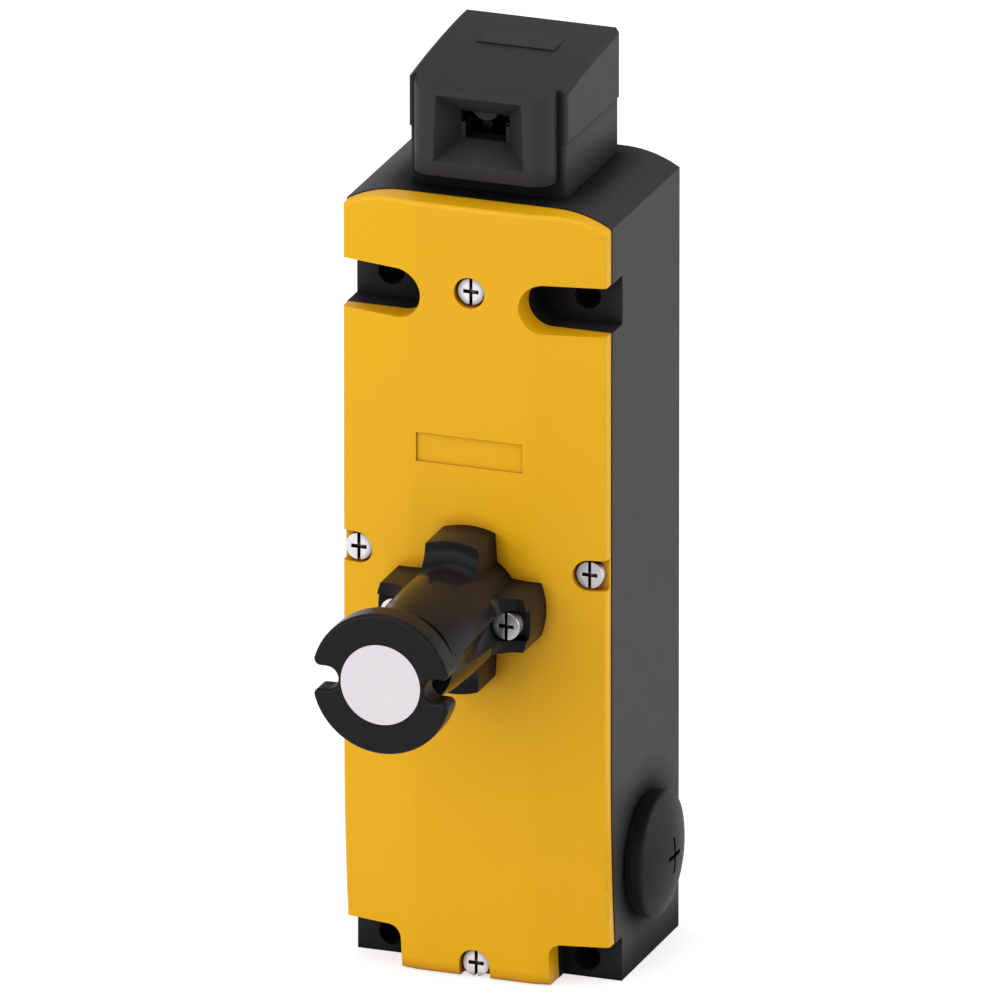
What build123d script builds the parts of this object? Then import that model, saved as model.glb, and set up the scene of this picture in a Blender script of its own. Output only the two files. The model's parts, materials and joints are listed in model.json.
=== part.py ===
from build123d import *
import math
import os

# Tongue interlock switch with guard locking and an escape release on the cover.
# Millimetres. X runs across, +Y goes back to the mounting wall, +Z is up.
# The origin is the centre of the four mounting holes, on the wall face of the body.
# Depths are counted from the wall face to the front, heights from the body's lower edge.

# Envelope of the body and the cover
width = 54.0
body_height = 158.3
shoulder_drop = 3.1
flat_top_half = 15.8
split_depth = 38.0
band_depth = 43.8
facet_edge_depth = 40.8
band_half = 12.0
bend_height = 45.0
bend_drop = 3.3
cover_inset = 0.2
wall = 2.6
cover_wall = 2.2
cover_edge_r = 0.8
facet_blend_r = 9.0
back_wall = 3.0
overcut = 1.0

# Corner mounting places
hole_pitch_x = 40.0
hole_pitch_z = 135.0
mounting_hole_d = 5.3
lower_hole_height = 4.1
ledge_depth = 32.3
slot_inner_x = 10.0
slot_opening = 9.9
ledge_inner_x = 15.1
ledge_height = 9.0
ledge_corner_r = 2.5

# Cover screws, cheese heads
screw_r = 1.5
screw_head_r = 2.7
screw_head_h = 2.0
screw_clear = 0.05
screw_pocket_r = 3.1
screw_below_face = 1.0
screw_thread_length = 9.0
boss_r = 4.4
top_screw_height = 140.9
low_screw_height = 2.95
mid_screw_height = 85.6
mid_screw_x = 23.5
mid_seat_depth = 39.0
slot_w = 0.8
slot_deep = 0.8

# Recess on the cover, left bare
recess_w = 21.6
recess_h = 5.8
recess_height = 108.5
recess_deep = 0.4

# Cover gasket
gasket_w = 1.0
gasket_deep = 0.9
gasket_inset = 0.8

# Cable entries and blanking plugs, M20
entry_r = 9.25
entry_depth = 19.0
entry_height = 21.9
entry_boss_r = 12.6
entry_boss_length = 9.0
bottom_boss_length = 8.0
plug_cap_r = 12.5
plug_rim = 3.5
plug_dome = 2.6
plug_edge_r = 0.9
plug_shank_clear = 0.05
plug_slot_long = 7.3
plug_slot_short = 6.1
plug_slot_w = 0.9
plug_slot_deep = 1.2
plug_bore_r = 6.5
plug_seal_w = 2.1
plug_seal_h = 1.3

# Head
mech_depth = 18.5
head_half = 15.8
cap_overhang = 0.35
head_back_depth = 3.4
head_front_depth = 33.5
snout_depth = 38.7
snout_half = 14.2
snout_corner_r = 4.2
snout_rise = 3.7
split_rise = 11.3
roof_back_rise = 25.1
roof_mid_rise = 24.0
roof_front_rise = 21.0
roof_mid_depth = 18.0
roof_overrun = 1.0
roof_bevel = 1.0
roof_wall = 2.2
head_wall = 2.5
head_floor = 2.3
chamber_front_depth = 31.0
head_corner_r = 1.0
funnel_half_top = 8.7
funnel_half_low = 9.2
funnel_low_rise = 6.5
funnel_top_rise = 20.0
throat_depth = 34.5
throat_low_rise = 10.7
throat_top_rise = 16.1
throat_step_rise = 13.8
throat_half = 4.1
throat_wing_half = 4.9
throat_nose_r = 2.8
throat_nose_drop = 1.5
head_screw_inset = 5.0
head_boss_r = 2.8
head_screw_length = 8.0
pad_w = 15.8
pad_back_depth = 5.0
pad_front_depth = 17.9
pad_rise = 0.25
head_seal_w = 1.0
head_seal_deep = 1.0
head_seal_inset = 0.9

# Cam, pawl and door slide in the head
cam_turn_deg = 60.0
axle_r = 1.75
run_clear = 0.05
hub_r = 3.1
lock_cam_r = 8.4
lock_lift = 4.0
door_cam_r = 4.8
door_lift = 3.0
cam_outer_r = 8.4
rim_gap = 0.5
disc_w = 2.0
lock_disc_x = 2.4
door_disc_x = 5.8
mouth_low = 0.4
mouth_high = 5.6
mouth_root = 3.2
notch_clear = 0.4
nose_lead_deg = 50.0
pawl_half_x = 3.4
pawl_half_y = 2.0
pawl_clear = 0.2
pawl_length = 10.7
tip_flat = 0.05
slide_size = 3.0
slide_clear = 0.2

# Lock rod, solenoid and release fork
rod_r = 2.0
rod_gap = 0.3
lock_travel = 4.0
release_travel = 7.0
release_height = 78.3
pin_r = 1.5
pin_half = 6.6
yoke_half = 13.0
yoke_t = 2.0
yoke_low = 34.0
yoke_high = 70.0
yoke_front_depth = 31.8
bobbin_bore_r = 5.8
bobbin_wall = 1.0
bobbin_flange_t = 1.2
coil_r = 12.4
armature_r = 5.5
armature_clear = 0.3
armature_pin_gap = 4.8
flange_over = 0.4
core_top = 44.3
core_gap = 0.3
spring_pocket = 7.4
spring_r = 2.4
spring_wire = 0.6
rod_seat = 14.0
coil_clear = 0.1
seat_fit = 0.02
arm_gap = 1.0

# Contact blocks
block_inner_x = 3.2
block_outer_x = 23.0
block_low = 95.0
block_high = 126.0
block_front_depth = 31.0
chamber_low = 100.0
chamber_high = 122.0
chamber_half_x = 2.0
bridge_t = 0.8
bridge_half_x = 1.6
bridge_back_depth = 9.0
bridge_fore_depth = 28.0
slide_foot = 113.0
contact_gap = 0.4
contact_t = 0.8
contact_long = 5.0
terminal_screw_r = 1.9
terminal_head_r = 2.4
terminal_head_h = 1.6
terminal_length = 7.0
terminal_x = 12.0
terminal_pitch_x = 6.5
terminal_pitch_z = 16.0
clamp_t = 1.0
clamp_w = 5.6
clamp_clear = 0.1
chamber_end_room = 1.0

# Escape release
lobe_r = 15.5
lobe_tip_half = 5.2
lobe_root_half = 6.4
lobe_top_depth = 53.6
lobe_fillet = 4.0
lobe_flare_r = 3.8
base_sink = 42.0
column_base_r = 10.5
column_mid_depth = 63.0
column_mid_r = 10.55
column_end_depth = 78.5
column_end_r = 9.4
button_r = 14.15
button_t = 5.3
button_gap = 2.4
button_edge_r = 0.8
button_notch_half = 2.3
button_notch_inner_x = 8.75
button_lip_r = 1.3
inlay_r = 8.05
inlay_t = 0.9
inlay_clear = 0.03
neck_r = 6.8
neck_clear = 0.1
neck_back_depth = 68.0
plunger_r = 3.0
spring_seat_depth = 56.0
return_spring_wire = 0.9
return_spring_inner_r = 4.2
release_screw_x = 11.4
release_floor_depth = 52.1
release_pocket_half = 3.0
release_pocket_lean = 1.35
release_pocket_end_depth = 75.5
release_head_r = 2.75
release_head_h = 2.5
release_boss_depth = 37.5
release_seal_r = 7.6
release_seal_w = 1.5
release_seal_deep = 0.8
plunger_seal_h = 2.8
plunger_seal_r = 4.6
fork_half = 6.0
fork_slot_half = 3.5
fork_low = 74.0
fork_high = 84.0
fork_front_depth = 33.0
fork_tip_depth = 13.6
flank_gap = 0.25
flank_run_out = 0.4
fork_slot_depth = 29.0

# Values worked out from the driving dimensions
body_bottom = -(lower_hole_height + hole_pitch_z / 2)
half = width / 2
far = 4 * width
bend_radius = (bend_height**2 + bend_drop**2) / (2 * bend_drop)
slot_r = slot_opening / 2
slot_height = lower_hole_height + hole_pitch_z
snout_bottom = body_height + snout_rise
head_split = body_height + split_rise
roof_back = body_height + roof_back_rise
roof_mid = body_height + roof_mid_rise
roof_front = body_height + roof_front_rise
funnel_low = body_height + funnel_low_rise
funnel_top = body_height + funnel_top_rise
throat_low = body_height + throat_low_rise
throat_top = body_height + throat_top_rise
throat_step = body_height + throat_step_rise
roof_end_depth = snout_depth + roof_overrun
head_length = head_front_depth - head_back_depth
head_middle_depth = (head_front_depth + head_back_depth) / 2
head_screw_pitch_x = 2 * (head_half - head_screw_inset)
head_screw_pitch_y = head_length - 2 * head_screw_inset
button_back_depth = column_end_depth + release_travel + button_gap
button_front_depth = button_back_depth + button_t
pawl_top = head_split - lock_cam_r - rim_gap
pawl_bottom = pawl_top - pawl_length
rod_top = pawl_bottom - rod_gap
slide_top = head_split - door_cam_r - rim_gap
cam_turn = math.radians(cam_turn_deg)
nose_lead = math.radians(nose_lead_deg)
flank_slope = lock_travel / release_travel
flank_angle = math.atan(flank_slope)
flank_height = release_height + (pin_r + flank_gap) / math.cos(flank_angle)
armature_top = release_height - pin_r - armature_pin_gap
armature_bottom = core_top + core_gap + lock_travel
spring_top = armature_bottom + spring_pocket


def up(height):
    return body_bottom + height


def front(depth):
    return Plane.XZ.offset(depth)


def level(height):
    return Plane.XY.offset(body_bottom + height)


def side(x):
    return Plane.YZ.offset(x)


def set_back(height):
    # how far the joint line and the front have moved back at this height
    below = max(0.0, bend_height - height)
    return bend_radius - math.sqrt(bend_radius**2 - below**2)


def facet_depth(x):
    # depth of the cover's front at this distance from the middle
    share = max(0.0, abs(x) - band_half) / (half - band_half)
    return band_depth - share * (band_depth - facet_edge_depth)


# Outline of the body seen from the front, arched at the top
with BuildSketch() as outline:
    with BuildLine():
        TangentArc(
            (flat_top_half, up(body_height)),
            (half, up(body_height - shoulder_drop)),
            tangent=(1, 0),
        )
        Line((half, up(body_height - shoulder_drop)), (half, up(0)))
        Line((half, up(0)), (-half, up(0)))
        Line((-half, up(0)), (-half, up(body_height - shoulder_drop)))
        TangentArc(
            (-flat_top_half, up(body_height)),
            (-half, up(body_height - shoulder_drop)),
            tangent=(-1, 0),
        )
        Line((-flat_top_half, up(body_height)), (flat_top_half, up(body_height)))
    make_face()


def inset_outline(distance):
    with BuildSketch() as smaller:
        add(outline.sketch_local)
        offset(amount=-distance, kind=Kind.INTERSECTION)
    return smaller.sketch_local


def corner_openings(grow):
    # side slots at the top and ledge places at the bottom, grown by a wall where needed
    slot_x = slot_inner_x + slot_r
    outside = half + wall
    with BuildSketch() as openings:
        for hand in (-1, 1):
            with Locations((hand * slot_x, up(slot_height))):
                Circle(slot_r + grow)
            with Locations((hand * (slot_x + outside) / 2, up(slot_height))):
                Rectangle(outside - slot_x, 2 * (slot_r + grow))
            inner = ledge_inner_x - grow
            top = ledge_height + grow
            with Locations((hand * (inner + outside) / 2, up(top / 2 - wall))):
                Rectangle(outside - inner, top + 2 * wall)
        corners = openings.vertices().filter_by(
            lambda v: abs(abs(v.X) - (ledge_inner_x - grow)) < 0.01
            and abs(v.Y - up(ledge_height + grow)) < 0.01
        )
        fillet(corners, radius=ledge_corner_r + grow)
    return openings.sketch_local


def mounting_points():
    return [
        (x, z)
        for x in (-hole_pitch_x / 2, hole_pitch_x / 2)
        for z in (-hole_pitch_z / 2, hole_pitch_z / 2)
    ]


mid_points = [(-mid_screw_x, up(mid_screw_height)), (mid_screw_x, up(mid_screw_height))]
top_point = (0, up(top_screw_height))
low_point = (0, up(low_screw_height))
release_points = [
    (-release_screw_x, up(release_height)),
    (release_screw_x, up(release_height)),
]

# Path of the cover's section, straight and then bent back towards the bottom
with BuildLine(Plane.YZ) as cover_path:
    start = (-split_depth, up(body_height + wall))
    bend = (-split_depth, up(bend_height))
    Line(start, bend)
    ThreePointArc(
        bend,
        (-(split_depth - set_back(bend_height / 2)), up(bend_height / 2)),
        (-(split_depth - set_back(-wall)), up(-wall)),
    )

section_plane = Plane(
    origin=(0, -split_depth, up(body_height + wall)), x_dir=(1, 0, 0), z_dir=(0, 0, 1)
)


def cover_section(thickness, behind):
    # faceted section of the cover, set in by a thickness and starting behind the joint
    front_y = -(band_depth - split_depth - thickness)
    edge_y = -(facet_edge_depth - split_depth - thickness)
    with BuildSketch(section_plane) as section:
        with BuildLine():
            Polyline(
                (-half, behind),
                (-half, edge_y),
                (-band_half, front_y),
                (band_half, front_y),
                (half, edge_y),
                (half, behind),
                close=True,
            )
        make_face()
    return section.sketch


def on_cover_front(edge):
    # true for an edge on the cover's front, but not for the seam where the bend starts
    middle = edge @ 0.5
    depth = set_back(middle.Z - body_bottom) - middle.Y
    return (
        depth > (split_depth + facet_edge_depth) / 2
        and abs(middle.Z - up(bend_height)) > cover_inset
    )


def on_facet_line(edge):
    return abs(abs((edge @ 0.5).X) - band_half) < cover_inset


# Solid form of the cover, before it is hollowed and cut
with BuildPart() as cover_form:
    add(cover_section(0, 0))
    sweep(path=cover_path.wire())
    with BuildSketch(front(0)):
        add(inset_outline(cover_inset))
    extrude(amount=far, mode=Mode.INTERSECT)
    facet_lines = cover_form.edges().filter_by(on_cover_front).filter_by(on_facet_line)
    fillet(facet_lines.filter_by(lambda e: e.length > band_half), radius=facet_blend_r)
    rim = cover_form.edges().filter_by(on_cover_front).filter_by(
        lambda e: abs((e @ 0).X - (e @ 1).X) > cover_inset
        or abs((e @ 0.5).X) > half - 2 * cover_inset
    )
    fillet(rim, radius=cover_edge_r)

with BuildPart() as cover_hollow:
    add(cover_section(cover_wall, wall))
    sweep(path=cover_path.wire())
    with BuildSketch(front(0)):
        add(inset_outline(wall))
        add(corner_openings(cover_wall), mode=Mode.SUBTRACT)
        with Locations(*mid_points, *release_points, top_point, low_point):
            Circle(boss_r, mode=Mode.SUBTRACT)
    extrude(amount=far, mode=Mode.INTERSECT)

# Space in front of the joint line, used to trim the body and to place the gasket
with BuildPart() as before_joint:
    with BuildSketch(side(0)):
        with BuildLine():
            Line((-split_depth, up(body_height + wall)), (-split_depth, up(bend_height)))
            ThreePointArc(
                (-split_depth, up(bend_height)),
                (-(split_depth - set_back(bend_height / 2)), up(bend_height / 2)),
                (-(split_depth - set_back(-wall)), up(-wall)),
            )
            Polyline(
                (-(split_depth - set_back(-wall)), up(-wall)),
                (-band_depth, up(-wall)),
                (-band_depth, up(body_height + wall)),
                (-split_depth, up(body_height + wall)),
            )
        make_face()
    extrude(amount=width, both=True)


def sealed_region(distance):
    # front view of the sealed space, which passes the low cover screw on the inside
    with BuildSketch() as region:
        add(inset_outline(distance))
        add(corner_openings(distance), mode=Mode.SUBTRACT)
        with Locations(low_point):
            Circle(screw_r + gasket_inset + distance, mode=Mode.SUBTRACT)
    return region.sketch_local


with BuildPart() as cover_gasket:
    with BuildSketch(front(0)):
        add(sealed_region(gasket_inset))
        add(sealed_region(gasket_inset + gasket_w), mode=Mode.SUBTRACT)
    extrude(amount=band_depth)
    add(before_joint.part, mode=Mode.SUBTRACT)
    add(before_joint.part.moved(Location((0, gasket_deep, 0))), mode=Mode.INTERSECT)

# Dark grey housing body
with BuildPart() as housing_body:
    with BuildSketch(front(0)):
        add(outline.sketch_local)
    extrude(amount=split_depth)
    # sealed space, with walls left round the corner places and posts for the screws
    with BuildSketch(front(back_wall)):
        add(inset_outline(wall))
        add(corner_openings(wall), mode=Mode.SUBTRACT)
        with Locations(*mid_points):
            Circle(boss_r, mode=Mode.SUBTRACT)
    extrude(amount=split_depth, mode=Mode.SUBTRACT)
    # channels that open the corner places to the front and the sides
    with BuildSketch(front(ledge_depth)):
        add(corner_openings(0))
    extrude(amount=split_depth, mode=Mode.SUBTRACT)
    # bridge between the upper corner places, which carries the top cover screw
    with BuildSketch(front(split_depth)):
        with Locations(top_point):
            Circle(boss_r)
        with Locations(top_point):
            Rectangle(2 * slot_inner_x - wall, boss_r)
    extrude(amount=-screw_thread_length - wall)
    # boss of the low cover screw
    with BuildSketch(front(split_depth)):
        with Locations(low_point):
            Circle(boss_r)
        with Locations((0, up(-boss_r / 2))):
            Rectangle(4 * boss_r, boss_r, mode=Mode.SUBTRACT)
    extrude(amount=-screw_thread_length + wall)
    # cable entries with threaded bosses
    for hand in (-1, 1):
        entry_plane = Plane(
            origin=(hand * half, -entry_depth, up(entry_height)),
            x_dir=(0, 1, 0),
            z_dir=(-hand, 0, 0),
        )
        with BuildSketch(entry_plane):
            Circle(entry_boss_r)
        extrude(amount=entry_boss_length)
        with BuildSketch(entry_plane):
            Circle(entry_r)
        extrude(amount=entry_boss_length, mode=Mode.SUBTRACT)
    with BuildSketch(level(0)):
        with Locations((0, -entry_depth)):
            Circle(entry_boss_r)
    extrude(amount=bottom_boss_length)
    with BuildSketch(level(0)):
        with Locations((0, -entry_depth)):
            Circle(entry_r)
    extrude(amount=bottom_boss_length, mode=Mode.SUBTRACT)
    add(before_joint.part, mode=Mode.SUBTRACT)
    # holes for the mounting screws and the cover screws
    with BuildSketch(front(0)):
        with Locations(*mounting_points()):
            Circle(mounting_hole_d / 2)
    extrude(amount=split_depth, mode=Mode.SUBTRACT)
    for point, seat in (
        (top_point, split_depth),
        (low_point, split_depth - set_back(low_screw_height)),
        (mid_points[0], split_depth),
        (mid_points[1], split_depth),
    ):
        with BuildSketch(front(seat - screw_thread_length + wall)):
            with Locations(point):
                Circle(screw_r + screw_clear)
        extrude(amount=screw_thread_length, mode=Mode.SUBTRACT)
    # way through the top for the pawl and the door slide, and the head screws
    with BuildSketch(level(body_height)):
        with Locations((-(door_disc_x + pawl_clear) / 2, -mech_depth)):
            Rectangle(
                door_disc_x + slide_size + 2 * pawl_half_x - wall + 4 * pawl_clear,
                2 * pawl_half_y + 4 * pawl_clear,
            )
        with Locations((0, -head_middle_depth)):
            with GridLocations(head_screw_pitch_x, head_screw_pitch_y, 2, 2):
                Circle(screw_r + screw_clear)
    extrude(amount=-2 * wall, mode=Mode.SUBTRACT)
    add(cover_gasket.part, mode=Mode.SUBTRACT)

# Screws that hold the cover
with BuildPart() as cover_screws:
    for point, seat, base in (
        (top_point, band_depth - screw_below_face - screw_head_h, split_depth),
        (
            low_point,
            band_depth - screw_below_face - screw_head_h - set_back(low_screw_height),
            split_depth - set_back(low_screw_height),
        ),
        (mid_points[0], mid_seat_depth, split_depth),
        (mid_points[1], mid_seat_depth, split_depth),
    ):
        head_h = min(screw_head_h, facet_depth(point[0]) - seat - screw_below_face / 2)
        tip = base - screw_thread_length + wall + screw_clear
        with BuildSketch(front(seat)):
            with Locations(point):
                Circle(screw_head_r)
        extrude(amount=head_h)
        with BuildSketch(front(tip)):
            with Locations(point):
                Circle(screw_r)
        extrude(amount=seat - tip)
        with BuildSketch(front(seat + head_h)):
            with Locations(point):
                Rectangle(slot_w, 2 * screw_head_r)
                Rectangle(2 * slot_w + screw_r, slot_w)
        extrude(amount=-slot_deep, mode=Mode.SUBTRACT)

# Yellow cover
with BuildPart() as cover:
    add(cover_form.part)
    add(cover_hollow.part, mode=Mode.SUBTRACT)
    with BuildSketch(front(0)):
        add(corner_openings(0))
    extrude(amount=far, mode=Mode.SUBTRACT)
    # pockets of the cover screws, the side ones and the low one open to the edge
    for point in mid_points:
        hand = math.copysign(1, point[0])
        with BuildSketch(front(mid_seat_depth)):
            with Locations(point):
                Circle(screw_pocket_r)
            with Locations((point[0] + hand * boss_r, point[1])):
                Rectangle(2 * boss_r, 2 * screw_pocket_r)
        extrude(amount=far, mode=Mode.SUBTRACT)
    with BuildSketch(front(band_depth - screw_below_face - screw_head_h)):
        with Locations(top_point):
            Circle(screw_pocket_r)
    extrude(amount=far, mode=Mode.SUBTRACT)
    low_seat = band_depth - screw_below_face - screw_head_h - set_back(low_screw_height)
    with BuildSketch(front(low_seat)):
        with Locations(low_point):
            Circle(screw_pocket_r)
        with Locations((0, low_point[1] - boss_r)):
            Rectangle(2 * screw_pocket_r, 2 * boss_r)
    extrude(amount=far, mode=Mode.SUBTRACT)
    with BuildSketch(front(0)):
        with Locations(*mid_points, top_point, low_point):
            Circle(screw_r + 2 * screw_clear)
        with Locations(*release_points):
            Circle(screw_r + screw_clear)
        with Locations((0, up(release_height))):
            Circle(plunger_r + neck_clear)
    extrude(amount=far, mode=Mode.SUBTRACT)
    with BuildSketch(front(band_depth - recess_deep)):
        with Locations((0, up(recess_height))):
            Rectangle(recess_w, recess_h)
    extrude(amount=far, mode=Mode.SUBTRACT)

# Blanking plugs and their seals
def plug_plane(hand):
    return Plane(
        origin=(hand * half, -entry_depth, up(entry_height)),
        x_dir=(0, 1, 0),
        z_dir=(hand, 0, 0),
    )


def make_plug(hand):
    # turned about the entry's axis: hollow shank, flat rim and a low dome
    shank_r = entry_r - plug_shank_clear
    shank_end = half - entry_boss_length + wall
    cap_base = half + plug_seal_h
    with BuildPart() as plug:
        with BuildSketch(level(entry_height)):
            with BuildLine():
                Polyline(
                    (shank_end, plug_bore_r - entry_depth),
                    (shank_end, shank_r - entry_depth),
                    (cap_base, shank_r - entry_depth),
                    (cap_base, plug_cap_r - entry_depth),
                    (half + plug_rim, plug_cap_r - entry_depth),
                )
                RadiusArc(
                    (half + plug_rim, plug_cap_r - entry_depth),
                    (half + plug_rim + plug_dome, -entry_depth),
                    (plug_cap_r**2 + plug_dome**2) / (2 * plug_dome),
                )
                Polyline(
                    (half + plug_rim + plug_dome, -entry_depth),
                    (half, -entry_depth),
                    (half, plug_bore_r - entry_depth),
                    (shank_end, plug_bore_r - entry_depth),
                )
            make_face()
        revolve(axis=Axis((0, -entry_depth, up(entry_height)), (1, 0, 0)))
        rims = plug.edges().filter_by(GeomType.CIRCLE)
        fillet(rims.sort_by(lambda e: e.radius)[-2:], radius=plug_edge_r)
        with BuildSketch(plug_plane(1).offset(plug_rim + plug_dome)):
            Rectangle(plug_slot_w, plug_slot_long)
            Rectangle(plug_slot_short, plug_slot_w)
        extrude(amount=-plug_slot_deep, mode=Mode.SUBTRACT)
        if hand < 0:
            mirror(about=Plane.YZ, mode=Mode.REPLACE)
    return plug.part


right_plug = make_plug(1)
left_plug = make_plug(-1)

with BuildPart() as plug_seals:
    for hand in (-1, 1):
        with BuildSketch(plug_plane(hand)):
            Circle(entry_r + plug_seal_w)
            Circle(entry_r - plug_shank_clear, mode=Mode.SUBTRACT)
        extrude(amount=plug_seal_h)


# Head. Plan outline of the shells, with the rounded snout
def head_plan(extra):
    with BuildSketch() as plan:
        with Locations((0, -head_middle_depth)):
            RectangleRounded(2 * (head_half + extra), head_length, head_corner_r)
    return plan.sketch_local


def snout_plan():
    with BuildSketch() as plan:
        with Locations((0, -(snout_depth + mech_depth) / 2)):
            Rectangle(2 * snout_half, snout_depth - mech_depth)
        fillet(plan.vertices().group_by(Axis.Y)[0], radius=snout_corner_r)
    return plan.sketch_local


def roof_profile(lower, start_x):
    # side view of everything under the arched roof
    with BuildSketch(side(start_x)) as profile:
        with BuildLine():
            ThreePointArc(
                (0, up(roof_back - lower)),
                (-roof_mid_depth, up(roof_mid - lower)),
                (-roof_end_depth, up(roof_front - lower)),
            )
            Polyline(
                (-roof_end_depth, up(roof_front - lower)),
                (-roof_end_depth, up(body_height)),
                (0, up(body_height)),
                (0, up(roof_back - lower)),
            )
        make_face()
    return profile.sketch


def roof_height(depth):
    # height of the roof at a depth, as the parabola through its three given heights
    back_slope = (roof_mid - roof_back) / roof_mid_depth
    fore_slope = (roof_front - roof_mid) / (roof_end_depth - roof_mid_depth)
    curve = (fore_slope - back_slope) / roof_end_depth
    return roof_back + back_slope * depth + curve * depth * (depth - roof_mid_depth)


with BuildPart() as head_chamber:
    extrude(roof_profile(roof_wall, -head_half), amount=2 * head_half)
    with BuildSketch(level(body_height + head_floor)):
        with Locations((0, -(chamber_front_depth + head_back_depth + head_wall) / 2)):
            RectangleRounded(
                2 * (head_half - head_wall),
                chamber_front_depth - head_back_depth - head_wall,
                head_corner_r,
            )
    extrude(amount=far, mode=Mode.INTERSECT)

with BuildPart() as throat:
    with BuildSketch(front(snout_depth)):
        with BuildLine():
            Polyline(
                (-funnel_half_low, up(funnel_low)),
                (funnel_half_low, up(funnel_low)),
                (funnel_half_top, up(funnel_top)),
                (-funnel_half_top, up(funnel_top)),
                close=True,
            )
        make_face()
    with BuildSketch(front(throat_depth)):
        with Locations((0, up((throat_low + throat_top) / 2))):
            Rectangle(2 * throat_wing_half, throat_top - throat_low)
    loft(ruled=True)
    with BuildSketch(front(chamber_front_depth - overcut)):
        with Locations((0, up((throat_low + throat_step) / 2))):
            Rectangle(2 * throat_half, throat_step - throat_low)
        with Locations((0, up((throat_step + throat_top) / 2))):
            Rectangle(2 * throat_wing_half, throat_top - throat_step)
        with Locations((0, up(throat_top - throat_nose_drop + throat_nose_r))):
            Circle(throat_nose_r, mode=Mode.SUBTRACT)
    extrude(amount=throat_depth - chamber_front_depth + overcut)

with BuildPart() as head_seal:
    with BuildSketch(level(body_height)):
        with Locations((0, -head_middle_depth)):
            RectangleRounded(
                2 * (head_half - head_seal_inset),
                head_length - 2 * head_seal_inset,
                head_corner_r + head_seal_w,
            )
            RectangleRounded(
                2 * (head_half - head_seal_inset - head_seal_w),
                head_length - 2 * head_seal_inset - 2 * head_seal_w,
                head_corner_r,
                mode=Mode.SUBTRACT,
            )
    extrude(amount=head_seal_deep)

# Lower shell of the head, with screw bosses and the floor that guides pawl and slide
with BuildPart() as head_base:
    with BuildSketch(level(body_height)):
        add(head_plan(0))
    extrude(amount=head_split - body_height)
    with BuildSketch(level(snout_bottom)):
        add(snout_plan())
    extrude(amount=head_split - snout_bottom)
    add(head_chamber.part, mode=Mode.SUBTRACT)
    with BuildSketch(level(body_height)):
        with Locations((0, -head_middle_depth)):
            with GridLocations(head_screw_pitch_x, head_screw_pitch_y, 2, 2):
                Circle(head_boss_r)
    extrude(amount=head_split - body_height - overcut)
    add(throat.part, mode=Mode.SUBTRACT)
    with BuildSketch(level(body_height)):
        with Locations((0, -head_middle_depth)):
            with GridLocations(head_screw_pitch_x, head_screw_pitch_y, 2, 2):
                Circle(screw_r + screw_clear)
    extrude(amount=head_screw_length - wall + screw_clear, mode=Mode.SUBTRACT)
    with BuildSketch(level(body_height)):
        with Locations((0, -mech_depth)):
            Rectangle(2 * (pawl_half_x + pawl_clear), 2 * (pawl_half_y + pawl_clear))
        with Locations((-door_disc_x, -mech_depth)):
            Rectangle(slide_size + 2 * slide_clear, slide_size + 2 * slide_clear)
    extrude(amount=head_floor, mode=Mode.SUBTRACT)
    with BuildSketch(side(0)):
        with Locations((-mech_depth, up(head_split))):
            Circle(axle_r)
    extrude(amount=head_half - head_wall / 2, both=True, mode=Mode.SUBTRACT)
    add(head_seal.part, mode=Mode.SUBTRACT)

# Upper shell of the head, with the arched roof
with BuildPart() as head_cap:
    cap_half = head_half + cap_overhang
    extrude(roof_profile(0, -cap_half), amount=2 * cap_half)
    roof_edges = head_cap.edges().filter_by(GeomType.CIRCLE)
    chamfer(roof_edges, length=roof_bevel)
    # pad on the roof, level with it at the back and a little proud at the front
    with BuildSketch(side(0)):
        with BuildLine():
            Polyline(
                (-pad_back_depth, up(head_split)),
                (-pad_back_depth, up(roof_height(pad_back_depth) - pad_rise / 4)),
                (-pad_front_depth, up(roof_height(pad_front_depth) + pad_rise)),
                (-pad_front_depth, up(head_split)),
                close=True,
            )
        make_face()
    extrude(amount=pad_w / 2, both=True)
    with BuildSketch(level(head_split)):
        add(head_plan(cap_overhang))
        add(snout_plan())
    extrude(amount=roof_back - head_split, mode=Mode.INTERSECT)
    add(head_chamber.part, mode=Mode.SUBTRACT)
    add(throat.part, mode=Mode.SUBTRACT)
    with BuildSketch(side(0)):
        with Locations((-mech_depth, up(head_split))):
            Circle(axle_r)
    extrude(amount=head_half - head_wall / 2, both=True, mode=Mode.SUBTRACT)

with BuildPart() as head_screws:
    with BuildSketch(level(body_height - wall)):
        with Locations((0, -head_middle_depth)):
            with GridLocations(head_screw_pitch_x, head_screw_pitch_y, 2, 2):
                Circle(screw_head_r)
    extrude(amount=-screw_head_h)
    with BuildSketch(level(body_height - wall)):
        with Locations((0, -head_middle_depth)):
            with GridLocations(head_screw_pitch_x, head_screw_pitch_y, 2, 2):
                Circle(screw_r)
    extrude(amount=head_screw_length)

# Axle of the cam, held between the two shells
with BuildPart() as cam_axle:
    with BuildSketch(side(0)):
        with Locations((-mech_depth, up(head_split))):
            Circle(axle_r)
    extrude(amount=head_half - head_wall / 2, both=True)


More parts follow.
